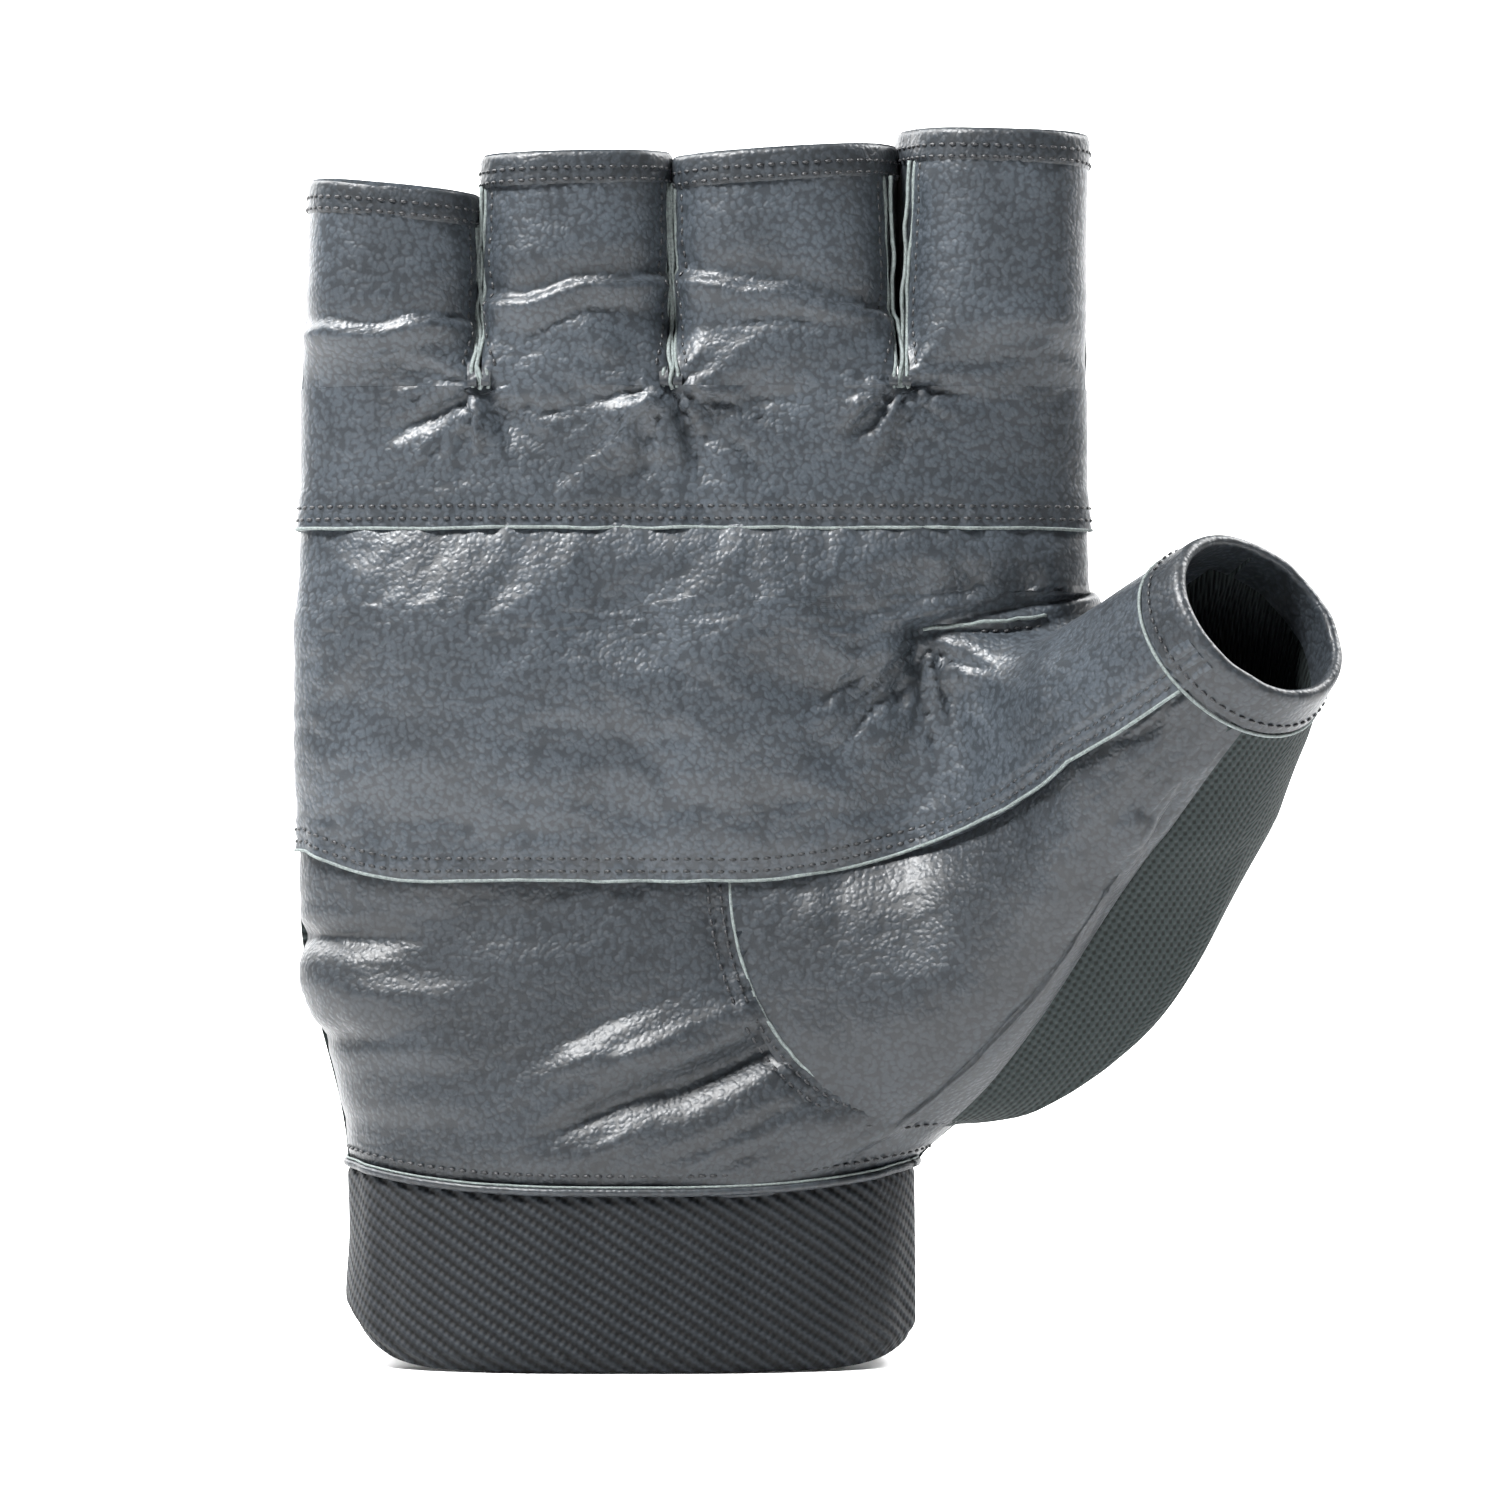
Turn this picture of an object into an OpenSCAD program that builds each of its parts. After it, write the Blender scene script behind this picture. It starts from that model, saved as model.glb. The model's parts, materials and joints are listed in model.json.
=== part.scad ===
// Fingerless sports glove for a right hand, filled as a hand fills it.
// Millimetres. The origin is the middle of the wrist rim, +Z runs up the hand,
// the palm faces -Y and the thumb side is +X.

/* [Cuff] */
// Width of the wrist cuff
cuff_w = 78; // [66:1:94]
// Thickness of the filled cuff, palm side to back
cuff_t = 40; // [34:1:48]
// Height of the elastic cuff band
cuff_h = 26; // [20:1:34]
// Wall of the elastic cuff band
cuff_wall = 1.8; // [1.2:0.1:2.4]

/* [Palm] */
// Height of the finger crotches above the wrist rim
crotch_z = 133; // [110:1:160]
// Thickness of the filled palm at the finger crotches
palm_t = 29; // [24:1:35]
// How far the palm's middle lies towards the thumb
palm_shift = 8.5; // [4:0.5:12]
// How far the heel stands out past the cuff on the thumb side
heel_bulge = 9; // [4:0.5:12]
// Upper double seam, below the finger crotches
upper_seam_drop = 18; // [14:1:24]
// Length of the padded panel between the two double seams
pad_len = 48; // [36:1:56]
// How far the foam lifts the padded panel
pad_rise = 2.6; // [1.5:0.1:3.2]
// Thickness of the leather
leather_t = 1.2; // [0.9:0.1:1.5]
// Thickness of the stretch knit
knit_t = 1.0; // [0.8:0.1:1.4]
// Thickness of the lining
lining_t = 0.7; // [0.5:0.1:1]

/* [Fingers] */
// Width of each finger lane at the crotches, little finger first
pinky_w = 25; // [20:0.5:30]
ring_w = 26; // [21:0.5:31]
middle_w = 31; // [25:0.5:37]
index_w = 26; // [21:0.5:31]
// Length of each finger stall above the crotches
pinky_len = 27.5; // [20:0.5:40]
ring_len = 32; // [24:0.5:44]
middle_len = 32.5; // [24:0.5:44]
index_len = 35; // [24:0.5:46]
// How much narrower a stall is at its opening
stall_taper = 2; // [0:0.25:4]
// Thickness of a stall at its opening
stall_t = 25; // [20:0.5:30]
// Sideways lean of the index stall at its opening
index_lean = 1.5; // [0:0.25:3]
// Width of a folded hem
hem_w = 7; // [5:0.5:9]

/* [Thumb] */
// Outer radius of the thumb opening
thumb_r = 13; // [11:0.25:16]
// Outer radius where the thumb stall meets the palm
thumb_root_r = 18; // [15:0.25:20]
// Length of the thumb stall
thumb_len = 26; // [20:0.5:34]
// Height of the thumb web below the finger crotches
web_drop = 29; // [24:1:34]

/* [Closure] */
// Width of the open slit at the back of the cuff
slit_w = 10; // [6:0.5:14]
// Height of the slit above the cuff
slit_h = 26; // [16:1:34]
// Free length of the closure tab
tab_len = 44; // [34:1:50]
// Height of the closure tab
tab_h = 20; // [14:1:20]

/* [Hidden] */

gap = 0.3;       // between neighbouring panels of one body
body_gap = 0.4;  // between a stall or the tab and what it moves against
edge = 0.012;    // the gap beside a fourchette or hole, as a share of a quarter turn
knit_tuck = 0.042;  // from the back's edge to the thumb's knit, as a share of a quarter turn
snug = 0.1;      // between layers that lie on each other
side_start = 1.001;  // where the back half of a section begins, just past its right edge

finger_w = [pinky_w, ring_w, middle_w, index_w];
finger_len = [pinky_len, ring_len, middle_len, index_len];
finger_lean = [0, 0, 0, index_lean];
stall_gap = 0.8; // between neighbouring stalls at the crotches
palm_w = pinky_w + ring_w + middle_w + index_w;

upper_seam_z = crotch_z - upper_seam_drop;
lower_seam_z = upper_seam_z - pad_len;
web_z = crotch_z - web_drop;
heel_flare_h = 11;
left_flare_h = 36;
thin_h = 60;         // height over which the cuff's thickness becomes the palm's
thenar_low_z = cuff_h + 9.5;
seam_rise = 4;       // rise of the lower seam where it turns into the thumb

// Places on the palm side, as shares of the palm's width from its left edge.
thenar_x = -palm_w / 2 + palm_shift + 0.546 * palm_w;
split_x = -palm_w / 2 + palm_shift + 0.76 * palm_w;
split_top_z = web_z - 5.5;

leather = "#5b6067";
leather_dark = "#4d5258";
knit = "#2f3534";
webbing = "#44464c";
foam = "#c9c6b8";
thread = "#2a2c30";
pile = "#1f2122";

function mix(a, b, t) = a + (b - a) * t;
function clamp(t) = min(max(t, 0), 1);
function ease(t) = let (c = clamp(t)) c * c * (3 - 2 * c);
function unit(v) = v / norm(v);
function swell(u) = 1 - pow(abs(2 * u - 1), 4);

// ---- The filled hand: a section at each height, widest across the crotches ----

function left(z) = mix(cuff_w / 2, palm_w / 2 - palm_shift, ease((z - cuff_h) / left_flare_h));
function right(z) =
    let (heel = cuff_w / 2 + heel_bulge, top = palm_w / 2 + palm_shift, low = cuff_h + heel_flare_h)
    mix(cuff_w / 2, heel, ease((z - cuff_h) / heel_flare_h))
    + (top - heel) * clamp((z - low) / (web_z - low));
function half_t(z) = mix(cuff_t, palm_t, ease((z - cuff_h) / thin_h)) / 2;
function power(z) = mix(2.3, 3, ease(z / crotch_z));
function mid(z) = (right(z) - left(z)) / 2;
function half_w(z) = (right(z) + left(z)) / 2;

// A point of a rounded section. t runs from -1 at the left edge over the palm side to 1 at
// the right edge, and on over the back to 3. Front and back stop half a gap short of the middle.
function rounded(c, a, b, n, t, z) =
    let (s = sin(90 * t), depth = max(gap / 2, b * pow(max(0, 1 - pow(abs(s), n)), 1 / n)))
    [c + a * s, cos(90 * t) >= 0 ? -depth : depth, z];
function skin(t, z, inset) = rounded(mid(z), half_w(z) - inset, half_t(z) - inset, power(z), t, z);
function turn_at(x, z) = asin(min(max((x - mid(z)) / half_w(z), -1), 1)) / 90;
function on_palm(x, z, inset) = skin(turn_at(x, z), z, inset);

// ---- Seam lines of the palm side ----

function lower_seam(x) = lower_seam_z
    + seam_rise * pow(clamp((x - thenar_x) / (split_x - thenar_x)), 2)
    + seam_rise * pow(clamp((mid(lower_seam_z) - 0.66 * half_w(lower_seam_z) - x) / 16), 2);
function split_line(z) = z < split_top_z
    ? split_x + 3.5 * clamp((z - lower_seam_z) / (split_top_z - lower_seam_z))
    : mix(split_x + 3.5, right(z), ease((z - split_top_z) / (web_z - split_top_z)));
// Top edge of the heel panel: the lower seam, then round under the thumb.
function heel_top(x) = x <= thenar_x
    ? lower_seam(x)
    : lower_seam_z - (lower_seam_z - thenar_low_z)
        * sqrt(1 - pow(clamp((split_x - x) / (split_x - thenar_x)), 2));
// Thumb hole on the back, as a turn round the section.
function back_hole(z) =
    1 + 0.42 * pow(max(0, sin(180 * clamp((z - thenar_low_z) / (web_z - thenar_low_z)))), 0.6);

// ---- A sheet between two surfaces: f(u, v, 0) is its inner face and f(u, v, 1) its outer ----

module sheet(f, nu, nv, ring = false) {
    cols = ring ? nu : nu + 1;
    layer = cols * (nv + 1);
    at = function(w, i, j) w * layer + j * cols + i % cols;
    quad = function(a, b, c, d) [[a, b, c], [a, c, d]];
    points = [for (w = [0, 1], j = [0:nv], i = [0:cols - 1]) f(i / nu, j / nv, w)];
    faces = [
        for (j = [0:nv - 1], i = [0:nu - 1]) each concat(
            quad(at(1, i, j), at(1, i, j + 1), at(1, i + 1, j + 1), at(1, i + 1, j)),
            quad(at(0, i, j), at(0, i + 1, j), at(0, i + 1, j + 1), at(0, i, j + 1))
        ),
        for (i = [0:nu - 1]) each concat(
            quad(at(1, i, 0), at(1, i + 1, 0), at(0, i + 1, 0), at(0, i, 0)),
            quad(at(1, i + 1, nv), at(1, i, nv), at(0, i, nv), at(0, i + 1, nv))
        ),
        if (!ring) for (j = [0:nv - 1]) each concat(
            quad(at(1, 0, j + 1), at(1, 0, j), at(0, 0, j), at(0, 0, j + 1)),
            quad(at(1, nu, j), at(1, nu, j + 1), at(0, nu, j + 1), at(0, nu, j))
        ),
    ];
    polyhedron(points = points, faces = faces, convexity = 6);
}

// ---- Palm side ----

function pad_point(u, v, lift) =
    let (zn = mix(lower_seam_z, upper_seam_z, v),
         t = mix(-1, turn_at(split_line(zn), zn), u),
         x = skin(t, lower_seam_z, 0)[0],
         z = mix(lower_seam(x) + gap / 2, upper_seam_z - gap / 2, v))
    skin(t, z, -lift);
function pad_lift(u, v) = pad_rise * swell(u) * swell(v);
pad_nu = 22;
pad_nv = 16;

module palm_pad_cover() {
    color(leather) {
        sheet(function(u, v, w) pad_point(u, v, pad_lift(u, v) + (w - 1) * leather_t), pad_nu, pad_nv);
        thumb_root_panel(web_base, thumb_web_turn, thumb_seam_turn, leather_t, 12);
    }
}

// The foam keeps clear of the seams by two cells of the cover all round.
module palm_foam() {
    inner = leather_t + snug;
    rim_u = 2 / pad_nu;
    rim_v = 2 / pad_nv;
    color(foam)
        sheet(function(u, v, w)
            let (a = mix(rim_u, 1 - rim_u, u), b = mix(rim_v, 1 - rim_v, v),
                 thick = pad_lift(a, b) - snug)
            pad_point(a, b, mix(-inner, thick - inner, w)), pad_nu - 4, pad_nv - 4);
}

module palm_lining() {
    outer = leather_t + snug + 2 * gap;
    color(knit)
        sheet(function(u, v, w)
            let (zn = mix(lower_seam_z + 1, crotch_z - 5, v),
                 t = mix(-0.94, turn_at(split_x, zn) - edge, u))
            skin(t, zn, outer + (1 - w) * lining_t), 18, 12);
}

module upper_palm_panel() {
    color(leather)
        sheet(function(u, v, w)
            let (z = mix(upper_seam_z + gap / 2, crotch_z, v))
            skin(mix(-1, 1, u), z, (1 - w) * leather_t), 26, 3);
}

// Columns of the heel panel stand upright in the middle and follow the glove's edges at the sides.
function heel_column(t, z) =
    let (s = sin(90 * t), low = thenar_low_z,
         spread = s < 0 ? left(low) - left(z) : right(z) - right(low))
    skin(t, low, 0)[0] + spread * pow(abs(s), 6);
module heel_panel() {
    color(leather)
        sheet(function(u, v, w)
            let (t = mix(-1, 1, u),
                 top = heel_top(heel_column(t, u < 0.5 ? lower_seam_z : thenar_low_z)),
                 z = mix(cuff_h + 0.6, top - gap / 2, v))
            skin(turn_at(heel_column(t, z), z), z, (1 - w) * leather_t),
            56, 7);
}

// ---- Thumb: three panels from the palm to the root ring, and three on the moving stall ----

thumb_dir = unit([0.52, -0.64, 0.56]);
thumb_fold = unit(cross(thumb_dir, [-0.8, -0.155, 0.57]));  // hinge line of the thumb stall
thumb_in = cross(thumb_fold, thumb_dir);                    // from the stall's middle to the fold
thumb_mouth = [right(web_z) + 21, -palm_t / 2 - 22, web_z - 2.5];
thumb_root = thumb_mouth - thumb_len * thumb_dir;
thumb_web_turn = -60;    // where the web meets the root ring, in degrees round the stall
thumb_seam_turn = 55;    // thumb seam
thumb_knit_turn = 122;   // edge between leather and knit

function thumb_ring(turn, along, inset) =
    let (r = mix(thumb_root_r, thumb_r, along / thumb_len) - inset)
    thumb_root + along * thumb_dir + r * (cos(turn) * thumb_in + sin(turn) * thumb_fold);

// Ways that the thumb panels leave the palm at the three lines where two of them meet.
leave_top = [12, -3, 2];
leave_seam = [16, -8, 8];
leave_low = [70, -12, 8];

// Each base curve gives [point, way the sheet leaves the palm].
web_base = function(k, inset)
    let (z = mix(web_z, lower_seam_z + seam_rise + gap, k * k), under = clamp((web_z - z) / 4))
    [on_palm(split_line(z) - under, z + 0.8 * under * (1 - k), inset), mix(leave_top, leave_seam, ease(k))];
thenar_base = function(k, inset)
    let (r = split_x - thenar_x - 3 * gap,
         drop = lower_seam_z - thenar_low_z - 3 * gap,
         a = 90 * clamp((k - 0.3) / 0.5),
         x = k < 0.3 ? mix(split_x, split_x - r, k / 0.3)
            : k < 0.8 ? split_x - r * cos(a)
            : mix(split_x, right(thenar_low_z), (k - 0.8) / 0.2),
         z = k < 0.3 ? lower_seam(x) - 2 * gap : lower_seam_z - 2 * gap - drop * sin(a))
    [on_palm(x, z, inset), k < 0.3 ? mix(leave_seam, [40, -20, 4], k / 0.3)
        : mix([40, -20, 4], leave_low, (k - 0.3) / 0.7)];
knit_base = function(k, inset)
    let (z = mix(thenar_low_z + 2 * gap, web_z - gap, k))
    [skin(max(side_start, back_hole(z) - knit_tuck), z, inset), mix(leave_low, leave_top, ease(k))];

function loft(p, lean, q, k) =
    let (a = 2 * k * k * k - 3 * k * k + 1, b = k * k * k - 2 * k * k + k,
         c = -2 * k * k * k + 3 * k * k, d = k * k * k - k * k)
    a * p + b * lean + c * q + d * 26 * thumb_dir;

module thumb_root_panel(base, turn_a, turn_b, wall, nu) {
    side = 0.7;
    sheet(function(u, v, w)
        let (inset = (1 - w) * wall, b = base(u, inset))
        loft(b[0], b[1], thumb_ring(mix(turn_a + side, turn_b - side, u), 0, inset), v), nu, 6);
}

module thumb_stall_panel(turn_a, turn_b, wall, nu) {
    side = 1.2;
    sheet(function(u, v, w)
        let (turn = mix(turn_a + side, turn_b - side, u))
        thumb_ring(turn, mix(body_gap, thumb_len, v), (1 - w) * wall), nu, 2);
}

module thenar_panel() {
    color(leather_dark)
        thumb_root_panel(thenar_base, thumb_seam_turn, thumb_knit_turn, leather_t, 20);
}
module thumb_gusset() {
    color(knit)
        thumb_root_panel(knit_base, thumb_knit_turn, 360 + thumb_web_turn, knit_t, 14);
}
module thumb_front() {
    color(leather)
        thumb_stall_panel(thumb_web_turn, thumb_seam_turn, leather_t, 8);
}
module thumb_side() {
    color(leather_dark)
        thumb_stall_panel(thumb_seam_turn, thumb_knit_turn, leather_t, 5);
}
module thumb_back() {
    color(knit)
        thumb_stall_panel(thumb_knit_turn, 360 + thumb_web_turn, knit_t, 12);
}
module thumb_hem() {
    color(leather_dark)
        sheet(function(u, v, w)
            let (along = mix(thumb_len - hem_w, thumb_len, v))
            thumb_ring(360 * u, along, leather_t + snug + (1 - w) * leather_t), 24, 1, ring = true);
}

// ---- Back of the hand ----

function slit_edge(t) =
    let (off = abs(skin(t, cuff_h, 0)[0]), k = 1 - off / (slit_w / 2))
    k > 0 ? slit_h * sqrt(k) : 0;

module back_panel() {
    color(knit)
        sheet(function(u, v, w)
            let (zn = mix(cuff_h + 0.6, crotch_z, v),
                 beside = edge * min(1, 20 * (back_hole(zn) - 1)),
                 t = mix(max(side_start, back_hole(zn) + beside), 3, u),
                 z = mix(cuff_h + 0.6 + slit_edge(t), crotch_z, v))
            skin(t, z, (1 - w) * knit_t),
            36, 12);
}

// A bound edge that runs up one side of the slit and down the other.
module slit_binding() {
    wide = 2.4;
    proud = 0.9;
    color(leather_dark)
        sheet(function(u, v, w)
            let (a = 180 * u, r = slit_w / 2 + mix(0.4, wide, v),
                 x = -r * cos(a),
                 z = cuff_h + 1 + (slit_h + mix(0.6, wide, v)) * sin(a),
                 p = on_palm(x, z, -snug - w * proud))
            [p[0], -p[1], p[2]], 20, 1);
}

// ---- Cuff and closure ----

function back_turn(x) = 2 - asin(min(max(x / (cuff_w / 2), -1), 1)) / 90;

// The cuff runs from one side of the slit round the palm to the other.
function cuff_turn(u) = mix(back_turn(-slit_w / 2) - 4, back_turn(slit_w / 2), u);

module cuff_band() {
    color(webbing)
        sheet(function(u, v, w)
            skin(cuff_turn(u), mix(0, cuff_h - 0.6, v), (1 - w) * cuff_wall), 40, 1);
}

module cuff_piping() {
    color(leather_dark)
        sheet(function(u, v, w)
            skin(cuff_turn(u), mix(cuff_h - 0.5, cuff_h + 0.5, v), mix(leather_t, -0.4, w)), 40, 1);
}

tab_z = [(cuff_h - tab_h) / 2 - 0.3, (cuff_h + tab_h) / 2 - 0.7];
tab_root_x = 18;               // sewn end of the tab, on the thumb side
tab_end_x = tab_root_x - tab_len;
loop_proud = 0.9;
hook_proud = 0.9;
tab_proud = 1.4;

// A patch on the back of the cuff, a border inside the tab's height, low above the cuff.
module cuff_patch(x, border, low, thick) {
    sheet(function(u, v, w)
        let (z = mix(tab_z[0] + border, tab_z[1] - border, v))
        skin(mix(back_turn(x[0]), back_turn(x[1]), u), z, -low - w * thick), 10, 1);
}

module loop_patch() {
    color(pile)
        cuff_patch([-slit_w / 2 - 0.4, tab_end_x + 1], 1, snug, loop_proud);
}
module hook_patch() {
    color(pile)
        cuff_patch([-slit_w / 2 - 1, tab_end_x + 3], 1.5, snug + loop_proud + gap, hook_proud);
}
module closure_tab() {
    seat = body_gap;
    over = snug + loop_proud + gap + hook_proud + snug;
    color(webbing)
        sheet(function(u, v, w)
            let (x = mix(tab_root_x, tab_end_x, u),
                 low = mix(seat, over, ease((tab_root_x - 2 - x) / 10)))
            skin(back_turn(x), mix(tab_z[0], tab_z[1], v), -(low + w * tab_proud)), 18, 1);
}

// ---- Crotch webs between neighbouring stalls ----

lane_start = [0, pinky_w, pinky_w + ring_w, pinky_w + ring_w + middle_w];
function crotch_x(i) = -palm_w / 2 + palm_shift + lane_start[i + 1];

module crotch_web(i) {
    web_w = 3;
    web_t = 1.2;
    reach = -on_palm(crotch_x(i), crotch_z, leather_t + gap)[1];
    color(leather_dark)
        sheet(function(u, v, w)
            let (y = mix(-reach, reach, v), sag = 2.5 * (1 - pow(y / reach, 2)))
            [crotch_x(i) + mix(-web_w / 2, web_w / 2, u), y, crotch_z - 0.2 - sag - (1 - w) * web_t],
            2, 8);
}

// ---- Finger stalls ----

function stall_mid(i) = -palm_w / 2 + palm_shift + lane_start[i] + finger_w[i] / 2;
function stall_skin(i, t, k, inset) =
    let (z = mix(crotch_z + body_gap, crotch_z + finger_len[i], k),
         a = (finger_w[i] - stall_gap - stall_taper * k) / 2 - inset,
         b = mix(palm_t, stall_t, k) / 2 - inset)
    rounded(stall_mid(i) + finger_lean[i] * k, a, b, mix(3.2, 2.7, k), t, z);

corner = 0.7;  // where the front or back meets a fourchette, as a turn

// Edges beside a fourchette keep a gap. The outer side seams at -1, 1 and 3 have theirs already.
module stall_panel(i, t_a, t_b, wall, nu) {
    from = t_a == -1 ? t_a : t_a == 1 ? side_start : t_a + edge;
    to = t_b == 1 || t_b == 3 ? t_b : t_b - edge;
    sheet(function(u, v, w) stall_skin(i, mix(from, to, u), v, (1 - w) * wall), nu, 3);
}
module stall_front(i) {
    color(leather)
        stall_panel(i, i == 0 ? -1 : -corner, i == 3 ? 1 : corner, leather_t, 10);
}
module stall_back(i) {
    color(knit)
        stall_panel(i, i == 3 ? 1 : 2 - corner, i == 0 ? 3 : 2 + corner, knit_t, 10);
}
module stall_fourchettes(i) {
    color(leather_dark) {
        if (i < 3) stall_panel(i, corner, 2 - corner, leather_t, 4);
        if (i > 0) stall_panel(i, 2 + corner, 4 - corner, leather_t, 4);
    }
}
module stall_hem(i) {
    low = 1 - hem_w / finger_len[i];
    color(leather_dark)
        sheet(function(u, v, w)
            let (inset = leather_t + snug + (1 - w) * leather_t)
            stall_skin(i, mix(-1, 3, u), mix(low, 1, v), inset), 24, 1, ring = true);
}

// ---- Thread: two rows along each double seam, one along the cuff ----

thread_w = 0.6;
thread_t = 0.4;
thread_clear = 0.25;  // under a thread, so that it clears the facets of the sheet it is sewn to
row_gap = 2;

// path(u, lift, side) is a point of a row at height side above the seam line.
module thread_row(path, side, nu) {
    sheet(function(u, v, w) path(u, thread_clear + w * thread_t, side + (v - 0.5) * thread_w), nu, 1);
}

module upper_seam_thread() {
    color(thread)
        for (row = [1, 2])
            thread_row(function(u, lift, side)
                skin(mix(-0.97, 0.97, u), upper_seam_z + side, -lift), row * row_gap - 0.5, 26);
}
module lower_seam_thread() {
    color(thread)
        for (row = [1, 2])
            thread_row(function(u, lift, side)
                let (a = mix(0.02, 0.97, u), v = clamp(side / pad_len))
                pad_point(a, v, pad_lift(a, v) + lift),
                row * row_gap - 0.5, 26);
}
module thenar_seam_thread() {
    color(thread)
        for (row = [1, 2])
            thread_row(function(u, lift, side)
                let (a = mix(8, 84, u),
                     x = split_x - (split_x - thenar_x + side) * cos(a),
                     z = lower_seam_z - (lower_seam_z - thenar_low_z + side) * sin(a))
                on_palm(x, z, -lift),
                row * row_gap - 0.5, 14);
}
module cuff_seam_thread() {
    color(thread)
        thread_row(function(u, lift, side)
            skin(mix(-0.97, 0.97, u), cuff_h + side, -lift), 2.5, 40);
}

palm_pad_cover();
upper_palm_panel();
heel_panel();
thenar_panel();
back_panel();
thumb_gusset();
slit_binding();
palm_foam();
palm_lining();
cuff_band();
cuff_piping();
loop_patch();
crotch_web(0);  // pinky_ring_web
crotch_web(1);  // ring_middle_web
crotch_web(2);  // middle_index_web
upper_seam_thread();
lower_seam_thread();
thenar_seam_thread();
cuff_seam_thread();
closure_tab();
hook_patch();
stall_front(0);  // pinky_front
stall_back(0);  // pinky_back
stall_fourchettes(0);  // pinky_fourchette
stall_hem(0);  // pinky_hem
stall_front(1);  // ring_front
stall_back(1);  // ring_back
stall_fourchettes(1);  // ring_fourchettes
stall_hem(1);  // ring_hem
stall_front(2);  // middle_front
stall_back(2);  // middle_back
stall_fourchettes(2);  // middle_fourchettes
stall_hem(2);  // middle_hem
stall_front(3);  // index_front
stall_back(3);  // index_back
stall_fourchettes(3);  // index_fourchette
stall_hem(3);  // index_hem
thumb_front();
thumb_side();
thumb_back();
thumb_hem();
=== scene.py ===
"""Fingerless sports glove for a right hand: leather palm, stretch-knit back, elastic cuff.

Lengths inside the script are millimetres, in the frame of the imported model: +Z runs up the hand,
the palm faces -Y and the thumb is on the +X side. They become metres where a mesh is made.
"""
import json
import math

import bmesh
import bpy
import numpy as np
from bpy.props import FloatProperty, FloatVectorProperty, PointerProperty
from mathutils import Matrix, Vector


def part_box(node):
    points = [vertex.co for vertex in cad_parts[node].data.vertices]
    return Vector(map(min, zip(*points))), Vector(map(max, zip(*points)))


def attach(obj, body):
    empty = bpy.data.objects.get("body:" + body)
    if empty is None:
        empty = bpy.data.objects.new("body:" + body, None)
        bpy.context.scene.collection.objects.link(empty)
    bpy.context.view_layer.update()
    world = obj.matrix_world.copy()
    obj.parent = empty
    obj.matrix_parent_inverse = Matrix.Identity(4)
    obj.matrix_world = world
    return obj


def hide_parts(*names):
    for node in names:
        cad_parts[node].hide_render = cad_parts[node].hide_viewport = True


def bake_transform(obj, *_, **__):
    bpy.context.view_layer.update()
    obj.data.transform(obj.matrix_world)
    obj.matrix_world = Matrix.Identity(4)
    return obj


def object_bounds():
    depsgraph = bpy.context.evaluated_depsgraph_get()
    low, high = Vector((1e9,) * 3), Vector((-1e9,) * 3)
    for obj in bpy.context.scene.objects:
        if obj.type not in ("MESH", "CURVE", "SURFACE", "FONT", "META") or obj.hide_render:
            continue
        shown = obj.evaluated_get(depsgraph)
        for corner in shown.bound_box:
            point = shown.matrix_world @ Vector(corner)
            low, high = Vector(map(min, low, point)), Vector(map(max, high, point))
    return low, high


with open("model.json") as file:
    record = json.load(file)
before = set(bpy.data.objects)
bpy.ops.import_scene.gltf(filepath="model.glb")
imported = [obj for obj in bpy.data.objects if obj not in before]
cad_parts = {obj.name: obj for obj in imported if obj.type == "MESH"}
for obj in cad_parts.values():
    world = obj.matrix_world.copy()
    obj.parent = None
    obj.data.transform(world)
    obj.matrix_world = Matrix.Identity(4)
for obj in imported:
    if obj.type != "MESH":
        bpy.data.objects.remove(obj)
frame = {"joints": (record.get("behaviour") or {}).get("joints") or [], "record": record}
CAD_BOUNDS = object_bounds()

bl_info = {
    "name": "Fingerless glove",
    "version": (1, 0, 0),
    "blender": (4, 5, 0),
    "location": "3D View > Sidebar > Glove",
    "description": "Builds a padded leather fingerless glove round its packed frame",
    "category": "Add Mesh",
}

MM = 0.001
FINGERS = ("pinky", "ring", "middle", "index")


# ---- Small numeric helpers ----

def mix(a, b, t):
    """The value a share t of the way from a to b."""
    return a + (b - a) * t


def ease(t):
    """A share from 0 to 1 that starts and ends gently."""
    c = np.clip(t, 0, 1)
    return c * c * (3 - 2 * c)


def bell(d, width):
    """1 at distance 0, falling away over about width."""
    return np.exp(-((d / width) ** 2))


def unit(v):
    """v at length 1."""
    v = np.asarray(v, float)
    return v / np.maximum(np.linalg.norm(v, axis=-1, keepdims=True), 1e-9)


def run_along(path):
    """How far each point of a path lies from its start."""
    return np.concatenate([[0], np.cumsum(np.linalg.norm(np.diff(path, axis=0), axis=1))])


def noise(x, y, seed):
    """Smooth noise from -1 to 1, with one cell to a unit of x and y."""
    grid = np.random.default_rng(seed).uniform(-1, 1, (61, 61))
    x, y = np.broadcast_arrays(np.asarray(x, float), np.asarray(y, float))
    col, row = np.floor(x).astype(int), np.floor(y).astype(int)
    fx, fy = ease(x - col), ease(y - row)

    def at(i, j):
        return grid[(col + i) % 61, (row + j) % 61]

    return mix(mix(at(0, 0), at(1, 0), fx), mix(at(0, 1), at(1, 1), fx), fy)


def creases(x, y, seed, sharp=4):
    """1 along thin wandering lines, near 0 between them."""
    return (1 - np.abs(noise(x, y, seed))) ** sharp


def to_linear(code):
    """A linear colour from an sRGB hex code."""
    parts = [int(code[i:i + 2], 16) / 255 for i in (1, 3, 5)]
    return tuple(c / 12.92 if c <= 0.04045 else ((c + 0.055) / 1.055) ** 2.4 for c in parts)


# ---- Driving sizes, from the frame ----

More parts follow.
